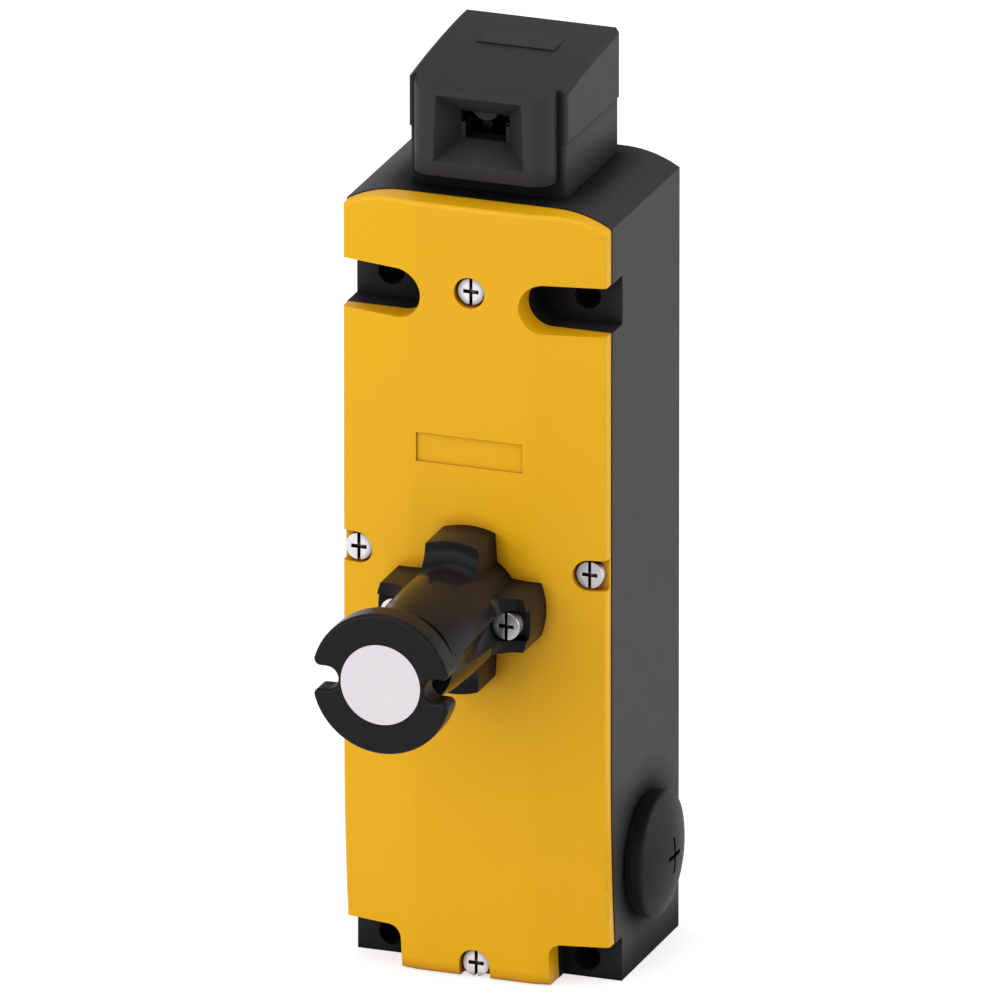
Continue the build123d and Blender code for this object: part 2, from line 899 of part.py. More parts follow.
def cam_rim(start_x, start_r, lift):
    # side view of a cam: its radius changes evenly over the turning angle, starting
    # straight below the axle and running to the back, where a notch's wall follows
    def rim_point(angle, radius):
        return (
            -mech_depth + radius * math.sin(angle),
            up(head_split) - radius * math.cos(angle),
        )

    steps = 6
    spiral = [
        rim_point(cam_turn * i / steps, start_r + lift * i / steps)
        for i in range(steps + 1)
    ]
    end_r = start_r + lift
    wall_y = pawl_half_y + notch_clear
    notch_foot = rim_point(
        cam_turn + math.atan(wall_y / end_r), math.hypot(wall_y, end_r)
    )
    notch_top = rim_point(cam_turn + math.asin(wall_y / cam_outer_r), cam_outer_r)
    nose = rim_point(2 * math.pi - nose_lead, cam_outer_r)
    with BuildSketch(side(start_x)) as rim:
        with BuildLine():
            Spline(*spiral)
            Line(spiral[-1], notch_foot)
            Line(notch_foot, notch_top)
            ThreePointArc(notch_top, rim_point(math.pi, cam_outer_r), nose)
            Line(nose, spiral[0])
        make_face()
        with Locations(
            (
                -mech_depth - (cam_outer_r + mouth_root) / 2 - overcut,
                up(head_split + (mouth_low + mouth_high) / 2),
            )
        ):
            Rectangle(
                cam_outer_r - mouth_root + 2 * overcut,
                mouth_high - mouth_low,
                mode=Mode.SUBTRACT,
            )
        with Locations((-mech_depth, up(head_split))):
            Circle(hub_r, mode=Mode.SUBTRACT)
    return rim.sketch


def cam_disc(middle_x, start_r, lift):
    with BuildPart() as disc:
        extrude(cam_rim(middle_x - disc_w / 2, start_r, lift), amount=disc_w)
    return disc.part


left_lock_disc = cam_disc(-lock_disc_x, lock_cam_r, -lock_lift)
right_lock_disc = cam_disc(lock_disc_x, lock_cam_r, -lock_lift)
door_cam = cam_disc(-door_disc_x, door_cam_r, door_lift)

with BuildPart() as cam_hub:
    with BuildSketch(side(-head_half + head_wall + pawl_clear)):
        with Locations((-mech_depth, up(head_split))):
            Circle(hub_r)
            Circle(axle_r + run_clear, mode=Mode.SUBTRACT)
    extrude(amount=2 * (head_half - head_wall - pawl_clear))

# Pawl, pushed up into the cam's step when the tongue is in
with BuildPart() as lock_pawl:
    with BuildSketch(side(0)):
        with Locations((-mech_depth, up(pawl_top - pawl_length / 2))):
            Rectangle(2 * pawl_half_y, pawl_length)
    extrude(amount=pawl_half_x, both=True)
    tip_edges = lock_pawl.edges().filter_by(Axis.X).group_by(Axis.Z)[-1]
    fillet(tip_edges, radius=pawl_half_y - tip_flat)

# Slide that carries the door position down to the left contact block
with BuildPart() as door_slide:
    with BuildSketch(level(slide_foot)):
        with Locations((-door_disc_x, -mech_depth)):
            Rectangle(slide_size, slide_size)
    extrude(amount=slide_top - slide_foot)
    tip_edges = door_slide.edges().filter_by(Axis.X).group_by(Axis.Z)[-1]
    fillet(tip_edges, radius=slide_size / 2 - tip_flat)

# Lock rod with its cross pin and the arm that works the right contact block
with BuildPart() as lock_rod:
    with BuildSketch(level(armature_top - rod_seat)):
        with Locations((0, -mech_depth)):
            Circle(rod_r)
    extrude(amount=rod_top - armature_top + rod_seat)
    with BuildSketch(side(0)):
        with Locations((-mech_depth, up(release_height))):
            Circle(pin_r)
    extrude(amount=2 * rod_r, both=True, mode=Mode.SUBTRACT)

with BuildPart() as cross_pin:
    with BuildSketch(side(0)):
        with Locations((-mech_depth, up(release_height))):
            Circle(pin_r)
    extrude(amount=pin_half, both=True)

arm_height = block_high + lock_travel + arm_gap
with BuildPart() as lock_slide:
    with BuildSketch(level(arm_height)):
        with Locations((0, -mech_depth)):
            Circle(2 * rod_r)
        with Locations((door_disc_x / 2, -mech_depth)):
            Rectangle(door_disc_x + slide_size, slide_size)
        with Locations((0, -mech_depth)):
            Circle(rod_r + seat_fit / 2, mode=Mode.SUBTRACT)
    extrude(amount=slide_size)
    with BuildSketch(level(slide_foot + door_lift)):
        with Locations((door_disc_x, -mech_depth)):
            Rectangle(slide_size, slide_size)
    extrude(amount=arm_height - slide_foot - door_lift)

# Solenoid
with BuildPart() as solenoid_yoke:
    with BuildSketch(side(0)):
        with Locations((-(back_wall + yoke_front_depth) / 2, up((yoke_low + yoke_high) / 2))):
            Rectangle(yoke_front_depth - back_wall, yoke_high - yoke_low)
        with Locations(
            (
                -(back_wall + yoke_front_depth) / 2 - yoke_t / 2,
                up((yoke_low + yoke_high) / 2),
            )
        ):
            Rectangle(
                yoke_front_depth - back_wall - yoke_t,
                yoke_high - yoke_low - 2 * yoke_t,
                mode=Mode.SUBTRACT,
            )
    extrude(amount=yoke_half, both=True)
    with BuildSketch(level(yoke_low)):
        with Locations((0, -mech_depth)):
            Circle(rod_r)
    extrude(amount=yoke_t, mode=Mode.SUBTRACT)
    with BuildSketch(level(yoke_high)):
        with Locations((0, -mech_depth)):
            Circle(armature_r + armature_clear)
    extrude(amount=-yoke_t, mode=Mode.SUBTRACT)

coil_low = yoke_low + yoke_t
coil_high = yoke_high - yoke_t
with BuildPart() as solenoid_bobbin:
    with BuildSketch(level(coil_low)):
        with Locations((0, -mech_depth)):
            Circle(bobbin_bore_r + bobbin_wall)
    extrude(amount=coil_high - coil_low)
    for start_height in (coil_low, coil_high - bobbin_flange_t):
        with BuildSketch(level(start_height)):
            with Locations((0, -mech_depth)):
                Circle(coil_r + flange_over)
        extrude(amount=bobbin_flange_t)
    with BuildSketch(level(coil_low)):
        with Locations((0, -mech_depth)):
            Circle(bobbin_bore_r)
    extrude(amount=coil_high - coil_low, mode=Mode.SUBTRACT)

with BuildPart() as solenoid_winding:
    with BuildSketch(level(coil_low + bobbin_flange_t)):
        with Locations((0, -mech_depth)):
            Circle(coil_r)
            Circle(bobbin_bore_r + bobbin_wall + seat_fit, mode=Mode.SUBTRACT)
    extrude(amount=coil_high - coil_low - 2 * bobbin_flange_t)

with BuildPart() as solenoid_core:
    with BuildSketch(level(coil_low)):
        with Locations((0, -mech_depth)):
            Circle(armature_r)
    extrude(amount=core_top - coil_low)
    with BuildSketch(level(yoke_low)):
        with Locations((0, -mech_depth)):
            Circle(rod_r)
    extrude(amount=yoke_t)

with BuildPart() as solenoid_armature:
    with BuildSketch(level(armature_bottom)):
        with Locations((0, -mech_depth)):
            Circle(armature_r)
    extrude(amount=armature_top - armature_bottom)
    with BuildSketch(level(armature_bottom)):
        with Locations((0, -mech_depth)):
            Circle(spring_r + 2 * coil_clear)
    extrude(amount=spring_pocket, mode=Mode.SUBTRACT)
    with BuildSketch(level(armature_top)):
        with Locations((0, -mech_depth)):
            Circle(rod_r + seat_fit)
    extrude(amount=-rod_seat, mode=Mode.SUBTRACT)

with BuildPart() as lock_spring:
    with BuildSketch(level(core_top)):
        with Locations((0, -mech_depth)):
            Circle(spring_r)
            Circle(spring_r - spring_wire, mode=Mode.SUBTRACT)
    extrude(amount=spring_top - core_top)


# Contact blocks
def contact_block(hand):
    middle = hand * (block_inner_x + block_outer_x) / 2
    with BuildPart() as block:
        with BuildSketch(front(back_wall)):
            with Locations((middle, up((block_low + block_high) / 2))):
                Rectangle(block_outer_x - block_inner_x, block_high - block_low)
        extrude(amount=block_front_depth - back_wall)
        # contact chamber with a bore for the slide above it
        chamber_depth = (bridge_back_depth + bridge_fore_depth) / 2
        with BuildSketch(level(chamber_low)):
            with Locations((hand * door_disc_x, -chamber_depth)):
                Rectangle(
                    2 * chamber_half_x,
                    bridge_fore_depth - bridge_back_depth + 2 * chamber_end_room,
                )
        extrude(amount=chamber_high - chamber_low, mode=Mode.SUBTRACT)
        with BuildSketch(level(chamber_high)):
            with Locations((hand * door_disc_x, -mech_depth)):
                Rectangle(slide_size + 2 * slide_clear, slide_size + 2 * slide_clear)
        extrude(amount=block_high - chamber_high, mode=Mode.SUBTRACT)
        # terminal places
        with BuildSketch(front(block_front_depth)):
            with Locations(*terminal_points(hand)):
                Rectangle(clamp_w, clamp_w)
        extrude(amount=-clamp_t - terminal_head_h, mode=Mode.SUBTRACT)
        with BuildSketch(front(block_front_depth)):
            with Locations(*terminal_points(hand)):
                Circle(terminal_screw_r + screw_clear)
        extrude(amount=-clamp_t - terminal_head_h - terminal_length, mode=Mode.SUBTRACT)
    return block.part


def terminal_points(hand):
    middle = (block_low + block_high) / 2
    return [
        (hand * (terminal_x + i * terminal_pitch_x), up(middle + j * terminal_pitch_z / 2))
        for i in (0, 1)
        for j in (-1, 1)
    ]


left_contact_block = contact_block(-1)
right_contact_block = contact_block(1)


def terminal_screws(hand):
    seat = block_front_depth - terminal_head_h
    with BuildPart() as screws:
        with BuildSketch(front(seat)):
            with Locations(*terminal_points(hand)):
                Circle(terminal_head_r)
        extrude(amount=terminal_head_h)
        with BuildSketch(front(seat)):
            with Locations(*terminal_points(hand)):
                Circle(terminal_screw_r)
        extrude(amount=-terminal_length)
    return screws.part


def terminal_clamps(hand):
    seat = block_front_depth - terminal_head_h - clamp_t
    with BuildPart() as clamps:
        with BuildSketch(front(seat)):
            with Locations(*terminal_points(hand)):
                Rectangle(clamp_w - 2 * clamp_clear, clamp_w - 2 * clamp_clear)
            with Locations(*terminal_points(hand)):
                Circle(terminal_screw_r + screw_clear, mode=Mode.SUBTRACT)
        extrude(amount=clamp_t)
    return clamps.part


left_terminal_screws = terminal_screws(-1)
right_terminal_screws = terminal_screws(1)
left_terminal_clamps = terminal_clamps(-1)
right_terminal_clamps = terminal_clamps(1)


def contact_bridge(hand, foot):
    with BuildPart() as bridge:
        chamber_depth = (bridge_back_depth + bridge_fore_depth) / 2
        with BuildSketch(level(foot - bridge_t)):
            with Locations((hand * door_disc_x, -chamber_depth)):
                Rectangle(2 * bridge_half_x, bridge_fore_depth - bridge_back_depth)
        extrude(amount=bridge_t)
    return bridge.part


door_contact_bridge = contact_bridge(-1, slide_foot)
lock_contact_bridge = contact_bridge(1, slide_foot + door_lift)


def fixed_contacts(hand, foot, travel):
    # two strips under the ends of the bridge, a little below its lowest place
    top = foot - bridge_t - travel - contact_gap
    with BuildPart() as contacts:
        for depth in (
            bridge_back_depth + contact_long / 2 - chamber_end_room,
            bridge_fore_depth - contact_long / 2 + chamber_end_room,
        ):
            with BuildSketch(level(top - contact_t)):
                with Locations((hand * door_disc_x, -depth)):
                    Rectangle(2 * chamber_half_x, contact_long)
            extrude(amount=contact_t)
    return contacts.part


left_fixed_contacts = fixed_contacts(-1, slide_foot, door_lift)
right_fixed_contacts = fixed_contacts(1, slide_foot + door_lift, lock_travel)


# Escape release on the cover. Cross-shaped base with a conical column
def lobe_cross():
    with BuildSketch() as cross:
        with PolarLocations(0, 4):
            Polygon(
                (0, -lobe_root_half),
                (lobe_r + overcut, -lobe_tip_half),
                (lobe_r + overcut, lobe_tip_half),
                (0, lobe_root_half),
                align=None,
            )
        Circle(lobe_r, mode=Mode.INTERSECT)
        inner = cross.vertices().filter_by(
            lambda v: math.hypot(v.X, v.Y) < lobe_r - 2 * lobe_fillet
        )
        fillet(inner, radius=lobe_fillet)
    return cross.sketch_local


def column_profile():
    # half section of the column, drawn on the side plane and turned about the release axis
    axis_z = up(release_height)
    with BuildSketch(side(0)) as profile:
        with BuildLine():
            Line((-base_sink, axis_z), (-base_sink, axis_z + column_base_r))
            Line(
                (-base_sink, axis_z + column_base_r),
                (-lobe_top_depth, axis_z + column_base_r),
            )
            ThreePointArc(
                (-lobe_top_depth, axis_z + column_base_r),
                (-column_mid_depth, axis_z + column_mid_r),
                (-column_end_depth, axis_z + column_end_r),
            )
            Line((-column_end_depth, axis_z + column_end_r), (-column_end_depth, axis_z))
            Line((-column_end_depth, axis_z), (-base_sink, axis_z))
        make_face()
    return profile.sketch


def flare_profile():
    # half section that hollows the fronts of the lobes towards the column
    axis_z = up(release_height)
    flare_end = lobe_top_depth + lobe_flare_r
    flare_rim = column_base_r + lobe_flare_r
    sag = lobe_flare_r * (1 - math.sqrt(0.5))
    with BuildSketch(side(0)) as profile:
        with BuildLine():
            Polyline(
                (-flare_end, axis_z + column_base_r),
                (-flare_end, axis_z),
                (-base_sink, axis_z),
                (-base_sink, axis_z + lobe_r + overcut),
                (-lobe_top_depth, axis_z + lobe_r + overcut),
                (-lobe_top_depth, axis_z + flare_rim),
            )
            ThreePointArc(
                (-lobe_top_depth, axis_z + flare_rim),
                (-lobe_top_depth - sag, axis_z + column_base_r + sag),
                (-flare_end, axis_z + column_base_r),
            )
        make_face()
    return profile.sketch


release_axis = Axis((0, 0, up(release_height)), (0, 1, 0))
release_middle = (0, up(release_height))

with BuildPart() as release_seal:
    with BuildSketch(front(band_depth)):
        with Locations(release_middle):
            Circle(release_seal_r)
            Circle(release_seal_r - release_seal_w, mode=Mode.SUBTRACT)
    extrude(amount=release_seal_deep)

with BuildPart() as release_base:
    with BuildSketch(front(base_sink)):
        with Locations(release_middle):
            add(lobe_cross())
    extrude(amount=lobe_top_depth + lobe_flare_r - base_sink)
    add(flare_profile())
    revolve(axis=release_axis, mode=Mode.INTERSECT)
    add(column_profile())
    revolve(axis=release_axis)
    add(cover_form.part, mode=Mode.SUBTRACT)
    # screw pockets, which run up the column and lean away from it
    for hand in (-1, 1):
        with BuildSketch(front(release_floor_depth)):
            with Locations((hand * release_screw_x, up(release_height))):
                Circle(release_pocket_half)
            with Locations((hand * (release_screw_x + lobe_r / 2), up(release_height))):
                Rectangle(lobe_r, 2 * release_pocket_half)
        with BuildSketch(front(release_pocket_end_depth)):
            shifted = release_screw_x + release_pocket_lean
            with Locations((hand * shifted, up(release_height))):
                Circle(release_pocket_half)
            with Locations((hand * (shifted + lobe_r / 2), up(release_height))):
                Rectangle(lobe_r, 2 * release_pocket_half)
        loft(ruled=True, mode=Mode.SUBTRACT)
    with BuildSketch(front(0)):
        with Locations(*release_points):
            Circle(screw_r + screw_clear)
        with Locations(release_middle):
            Circle(plunger_r + neck_clear)
    extrude(amount=column_end_depth, mode=Mode.SUBTRACT)
    with BuildSketch(front(spring_seat_depth)):
        with Locations(release_middle):
            Circle(neck_r + neck_clear)
    extrude(amount=far, mode=Mode.SUBTRACT)
    with BuildSketch(front(0)):
        with Locations(release_middle):
            Circle(plunger_seal_r)
    extrude(amount=band_depth + plunger_seal_h, mode=Mode.SUBTRACT)
    add(release_seal.part, mode=Mode.SUBTRACT)

with BuildPart() as plunger_seal:
    with BuildSketch(front(band_depth)):
        with Locations(release_middle):
            Circle(plunger_seal_r)
            Circle(plunger_r + run_clear, mode=Mode.SUBTRACT)
    extrude(amount=plunger_seal_h)

with BuildPart() as release_screws:
    with BuildSketch(front(release_floor_depth)):
        with Locations(*release_points):
            Circle(release_head_r)
    extrude(amount=release_head_h)
    with BuildSketch(front(release_floor_depth)):
        with Locations(*release_points):
            Circle(screw_r)
    extrude(amount=-(release_floor_depth - release_boss_depth))
    with BuildSketch(front(release_floor_depth + release_head_h)):
        with Locations(*release_points):
            Rectangle(slot_w, 2 * slot_w + screw_r)
            Rectangle(2 * slot_w + screw_r, slot_w)
    extrude(amount=-slot_deep, mode=Mode.SUBTRACT)

# Button with two screwdriver notches, its neck runs in the column
with BuildPart() as release_button:
    with BuildSketch(front(button_back_depth)):
        with Locations(release_middle):
            Circle(button_r)
        for hand in (-1, 1):
            notch_x = button_notch_inner_x + button_notch_half
            with Locations((hand * notch_x, up(release_height))):
                Circle(button_notch_half, mode=Mode.SUBTRACT)
            with Locations((hand * (notch_x + button_r / 2), up(release_height))):
                Rectangle(button_r, 2 * button_notch_half, mode=Mode.SUBTRACT)
    extrude(amount=button_front_depth - button_back_depth)
    lips = release_button.edges().filter_by(Axis.Y).filter_by(
        lambda e: math.hypot(e.center().X, e.center().Z - up(release_height))
        > button_r - neck_clear
    )
    fillet(lips, radius=button_lip_r)
    rims = release_button.faces().sort_by(Axis.Y)
    fillet(rims[0].edges(), radius=button_edge_r)
    fillet(release_button.faces().sort_by(Axis.Y)[-1].edges(), radius=button_edge_r)
    with BuildSketch(front(neck_back_depth)):
        with Locations(release_middle):
            Circle(neck_r)
    extrude(amount=button_back_depth - neck_back_depth)
    with BuildSketch(front(neck_back_depth)):
        with Locations(release_middle):
            Circle(plunger_r + seat_fit)
    extrude(amount=button_back_depth - neck_back_depth, mode=Mode.SUBTRACT)
    with BuildSketch(front(button_front_depth - inlay_t)):
        with Locations(release_middle):
            Circle(inlay_r + inlay_clear)
    extrude(amount=far, mode=Mode.SUBTRACT)

with BuildPart() as button_inlay:
    with BuildSketch(front(button_front_depth - inlay_t)):
        with Locations(release_middle):
            Circle(inlay_r)
    extrude(amount=inlay_t)

with BuildPart() as release_plunger:
    with BuildSketch(front(fork_front_depth)):
        with Locations(release_middle):
            Circle(plunger_r)
    extrude(amount=button_back_depth - fork_front_depth)

with BuildPart() as return_spring:
    with BuildSketch(front(spring_seat_depth)):
        with Locations(release_middle):
            Circle(return_spring_inner_r + return_spring_wire)
            Circle(return_spring_inner_r, mode=Mode.SUBTRACT)
    extrude(amount=neck_back_depth - spring_seat_depth)

# Fork with inclined flanks that press the cross pin down
flank_end_depth = mech_depth + release_travel + pin_r + flank_gap + flank_run_out


def flank_at(depth):
    return flank_height - (depth - mech_depth) * flank_slope


with BuildPart() as release_fork:
    with BuildSketch(side(0)):
        with BuildLine():
            Polyline(
                (-fork_front_depth, up(fork_high)),
                (-fork_tip_depth, up(fork_high)),
                (-fork_tip_depth, up(flank_at(fork_tip_depth))),
                (-flank_end_depth, up(flank_at(flank_end_depth))),
                (-flank_end_depth, up(fork_low)),
                (-fork_front_depth, up(fork_low)),
                close=True,
            )
        make_face()
    extrude(amount=fork_half, both=True)
    with BuildSketch(level(fork_low)):
        slot_depth = (fork_tip_depth + fork_slot_depth) / 2
        with Locations((0, -slot_depth + overcut)):
            Rectangle(
                2 * fork_slot_half, fork_slot_depth - fork_tip_depth + 2 * overcut
            )
    extrude(amount=fork_high - fork_low, mode=Mode.SUBTRACT)

os.makedirs("parts", exist_ok=True)

housing_body.part.label = "housing_body"
export_step(housing_body.part, "parts/housing_body.step")
cover.part.label = "cover"
export_step(cover.part, "parts/cover.step")
cover_gasket.part.label = "cover_gasket"
export_step(cover_gasket.part, "parts/cover_gasket.step")
cover_screws.part.label = "cover_screws"
export_step(cover_screws.part, "parts/cover_screws.step")
right_plug.label = "right_plug"
export_step(right_plug, "parts/right_plug.step")
left_plug.label = "left_plug"
export_step(left_plug, "parts/left_plug.step")
plug_seals.part.label = "plug_seals"
export_step(plug_seals.part, "parts/plug_seals.step")
head_base.part.label = "head_base"
export_step(head_base.part, "parts/head_base.step")
head_cap.part.label = "head_cap"
export_step(head_cap.part, "parts/head_cap.step")
head_seal.part.label = "head_seal"
export_step(head_seal.part, "parts/head_seal.step")
head_screws.part.label = "head_screws"
export_step(head_screws.part, "parts/head_screws.step")
cam_axle.part.label = "cam_axle"
export_step(cam_axle.part, "parts/cam_axle.step")
left_lock_disc.label = "left_lock_disc"
export_step(left_lock_disc, "parts/left_lock_disc.step")
right_lock_disc.label = "right_lock_disc"
export_step(right_lock_disc, "parts/right_lock_disc.step")
door_cam.label = "door_cam"
export_step(door_cam, "parts/door_cam.step")
cam_hub.part.label = "cam_hub"
export_step(cam_hub.part, "parts/cam_hub.step")
lock_pawl.part.label = "lock_pawl"
export_step(lock_pawl.part, "parts/lock_pawl.step")
door_slide.part.label = "door_slide"
export_step(door_slide.part, "parts/door_slide.step")
lock_rod.part.label = "lock_rod"
export_step(lock_rod.part, "parts/lock_rod.step")
cross_pin.part.label = "cross_pin"
export_step(cross_pin.part, "parts/cross_pin.step")
lock_slide.part.label = "lock_slide"
export_step(lock_slide.part, "parts/lock_slide.step")
solenoid_yoke.part.label = "solenoid_yoke"
export_step(solenoid_yoke.part, "parts/solenoid_yoke.step")
solenoid_bobbin.part.label = "solenoid_bobbin"
export_step(solenoid_bobbin.part, "parts/solenoid_bobbin.step")
solenoid_winding.part.label = "solenoid_winding"
export_step(solenoid_winding.part, "parts/solenoid_winding.step")
solenoid_core.part.label = "solenoid_core"
export_step(solenoid_core.part, "parts/solenoid_core.step")
solenoid_armature.part.label = "solenoid_armature"
export_step(solenoid_armature.part, "parts/solenoid_armature.step")
lock_spring.part.label = "lock_spring"
export_step(lock_spring.part, "parts/lock_spring.step")
left_contact_block.label = "left_contact_block"
export_step(left_contact_block, "parts/left_contact_block.step")
right_contact_block.label = "right_contact_block"
export_step(right_contact_block, "parts/right_contact_block.step")
left_terminal_screws.label = "left_terminal_screws"
export_step(left_terminal_screws, "parts/left_terminal_screws.step")
right_terminal_screws.label = "right_terminal_screws"
export_step(right_terminal_screws, "parts/right_terminal_screws.step")
left_terminal_clamps.label = "left_terminal_clamps"
export_step(left_terminal_clamps, "parts/left_terminal_clamps.step")
right_terminal_clamps.label = "right_terminal_clamps"
export_step(right_terminal_clamps, "parts/right_terminal_clamps.step")
door_contact_bridge.label = "door_contact_bridge"
export_step(door_contact_bridge, "parts/door_contact_bridge.step")
lock_contact_bridge.label = "lock_contact_bridge"
export_step(lock_contact_bridge, "parts/lock_contact_bridge.step")
left_fixed_contacts.label = "left_fixed_contacts"
export_step(left_fixed_contacts, "parts/left_fixed_contacts.step")
right_fixed_contacts.label = "right_fixed_contacts"
export_step(right_fixed_contacts, "parts/right_fixed_contacts.step")
release_base.part.label = "release_base"
export_step(release_base.part, "parts/release_base.step")
release_seal.part.label = "release_seal"
export_step(release_seal.part, "parts/release_seal.step")
plunger_seal.part.label = "plunger_seal"
export_step(plunger_seal.part, "parts/plunger_seal.step")
release_screws.part.label = "release_screws"
export_step(release_screws.part, "parts/release_screws.step")
release_button.part.label = "release_button"
export_step(release_button.part, "parts/release_button.step")
button_inlay.part.label = "button_inlay"
export_step(button_inlay.part, "parts/button_inlay.step")
release_plunger.part.label = "release_plunger"
export_step(release_plunger.part, "parts/release_plunger.step")
return_spring.part.label = "return_spring"
export_step(return_spring.part, "parts/return_spring.step")
release_fork.part.label = "release_fork"
export_step(release_fork.part, "parts/release_fork.step")
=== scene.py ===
import json
import math

import bpy
import numpy as np
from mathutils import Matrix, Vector


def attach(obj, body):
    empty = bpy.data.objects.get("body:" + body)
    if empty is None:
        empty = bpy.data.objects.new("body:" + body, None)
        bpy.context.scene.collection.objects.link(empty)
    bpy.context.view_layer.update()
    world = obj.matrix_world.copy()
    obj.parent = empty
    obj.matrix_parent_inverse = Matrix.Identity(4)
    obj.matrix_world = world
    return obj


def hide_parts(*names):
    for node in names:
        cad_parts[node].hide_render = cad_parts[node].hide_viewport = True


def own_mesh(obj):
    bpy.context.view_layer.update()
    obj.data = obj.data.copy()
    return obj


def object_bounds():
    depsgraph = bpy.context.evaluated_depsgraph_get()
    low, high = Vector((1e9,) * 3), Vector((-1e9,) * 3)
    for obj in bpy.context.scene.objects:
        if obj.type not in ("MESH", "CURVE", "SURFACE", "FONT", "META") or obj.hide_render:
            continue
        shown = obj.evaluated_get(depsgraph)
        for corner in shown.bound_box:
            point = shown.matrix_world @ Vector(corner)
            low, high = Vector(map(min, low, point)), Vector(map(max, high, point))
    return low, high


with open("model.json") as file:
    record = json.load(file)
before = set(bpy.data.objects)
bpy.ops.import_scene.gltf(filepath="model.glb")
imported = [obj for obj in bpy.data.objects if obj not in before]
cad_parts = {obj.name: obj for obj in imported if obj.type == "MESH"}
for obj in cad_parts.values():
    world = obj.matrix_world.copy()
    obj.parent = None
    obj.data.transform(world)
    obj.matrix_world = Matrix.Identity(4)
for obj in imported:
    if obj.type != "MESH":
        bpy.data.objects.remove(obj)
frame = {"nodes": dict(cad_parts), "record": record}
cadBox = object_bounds()
nodes = frame["nodes"]
print("frame loaded,", len(nodes), "nodes")

scene = bpy.context.scene
scene.view_settings.view_transform = "Standard"

mm = 0.001  # lengths below are in millimetres, and this turns them into metres

# Camera: near-orthographic, from the right of the front and from above
cameraSet = {
    "turn": 20.0,
    "up": 20.0,
    "target": (-9.88 * mm, 0.63 * mm, 10.91 * mm),
    "distance": 8.02,
    "lens": 1500.0,
    "sensor": 36.0,
    "near": 0.5,
    "far": 60.0,
}


def placeCamera(s):
    turn, up = math.radians(s["turn"]), math.radians(s["up"])
    back = Vector((math.cos(up) * math.sin(turn), -math.cos(up) * math.cos(turn), math.sin(up)))
    data = bpy.data.cameras.new("studioCamera")
    data.lens = s["lens"]
    data.sensor_width = s["sensor"]
    data.clip_start = s["near"]
    data.clip_end = s["far"]
    camera = bpy.data.objects.new("studioCamera", data)
    scene.collection.objects.link(camera)
    camera.location = Vector(s["target"]) + back * s["distance"]
    camera.rotation_euler = back.to_track_quat("Z", "Y").to_euler()
    scene.camera = camera


placeCamera(cameraSet)


# Colour sockets of a Mix node, told apart by number because its kinds share their names
mixFactor, mixLow, mixHigh, mixResult = 0, 6, 7, 2


# Helpers for the shader trees
def makeMaterial(name, color, roughness, metallic=0.0, level=0.5):
    material = bpy.data.materials.new(name)
    material.use_nodes = True
    tree = material.node_tree
    shader = tree.nodes["Principled BSDF"]
    shader.inputs["Base Color"].default_value = (*color, 1.0)
    shader.inputs["Roughness"].default_value = roughness
    shader.inputs["Metallic"].default_value = metallic
    shader.inputs["Specular IOR Level"].default_value = level
    return material, tree, shader


def addNode(tree, kind, at, **values):
    node = tree.nodes.new(kind)
    node.location = at
    for key, value in values.items():
        setattr(node, key, value)
    return node


def setInputs(node, **values):
    for key, value in values.items():
        node.inputs[key.replace("_", " ")].default_value = value
    return node


def makeGroup(name, inputs, outputs):
    group = bpy.data.node_groups.new(name, "ShaderNodeTree")
    for label, kind, value in inputs:
        socket = group.interface.new_socket(label, in_out="INPUT", socket_type=kind)
        socket.default_value = value
    for label, kind in outputs:
        group.interface.new_socket(label, in_out="OUTPUT", socket_type=kind)
    enter = addNode(group, "NodeGroupInput", (-900, 0))
    leave = addNode(group, "NodeGroupOutput", (700, 0))
    return group, enter, leave


def useGroup(tree, group, at, **values):
    node = addNode(tree, "ShaderNodeGroup", at, node_tree=group)
    return setInputs(node, **values)


# What stays the same inside the shader groups
groupSet = {
    "grain": {"Detail": 3.0, "Roughness": 0.6},
    "mottle": {"Detail": 4.0, "Roughness": 0.55},
    "pitShare": 0.6,  # of the pits in the grain's height
    "fine": {"Detail": 5.0, "Roughness": 0.7},
    "slow": {"Scale": 60.0, "Detail": 2.0},
    "rings": {"Detail": 3.0},
    "paintedShadeSamples": 8,
    "edgeSamples": 6,
}


def buildGrainGroup():
    # eroded mould skin: fine grain and pits for the height, a slow mottle for colour and gloss
    group, enter, leave = makeGroup(
        "mouldGrain",
        [("Grain size", "NodeSocketFloat", 3000.0), ("Mottle size", "NodeSocketFloat", 90.0)],
        [("Height", "NodeSocketFloat"), ("Mottle", "NodeSocketFloat")],
    )
    link = group.links.new
    coords = addNode(group, "ShaderNodeTexCoord", (-700, 200))
    grain = addNode(group, "ShaderNodeTexNoise", (-400, 250))
    pits = addNode(group, "ShaderNodeTexVoronoi", (-400, -20), feature="F1")
    mottle = addNode(group, "ShaderNodeTexNoise", (-400, -300))
    both = addNode(group, "ShaderNodeMath", (0, 150), operation="MULTIPLY_ADD")
    setInputs(grain, **groupSet["grain"])
    setInputs(mottle, **groupSet["mottle"])
    both.inputs[1].default_value = groupSet["pitShare"]
    for texture in (grain, pits, mottle):
        link(coords.outputs["Object"], texture.inputs["Vector"])
    link(enter.outputs["Grain size"], grain.inputs["Scale"])
    link(enter.outputs["Grain size"], pits.inputs["Scale"])
    link(enter.outputs["Mottle size"], mottle.inputs["Scale"])
    link(pits.outputs["Distance"], both.inputs[0])
    link(grain.outputs["Fac"], both.inputs[2])
    link(both.outputs[0], leave.inputs["Height"])
    link(mottle.outputs["Fac"], leave.inputs["Mottle"])
    return group


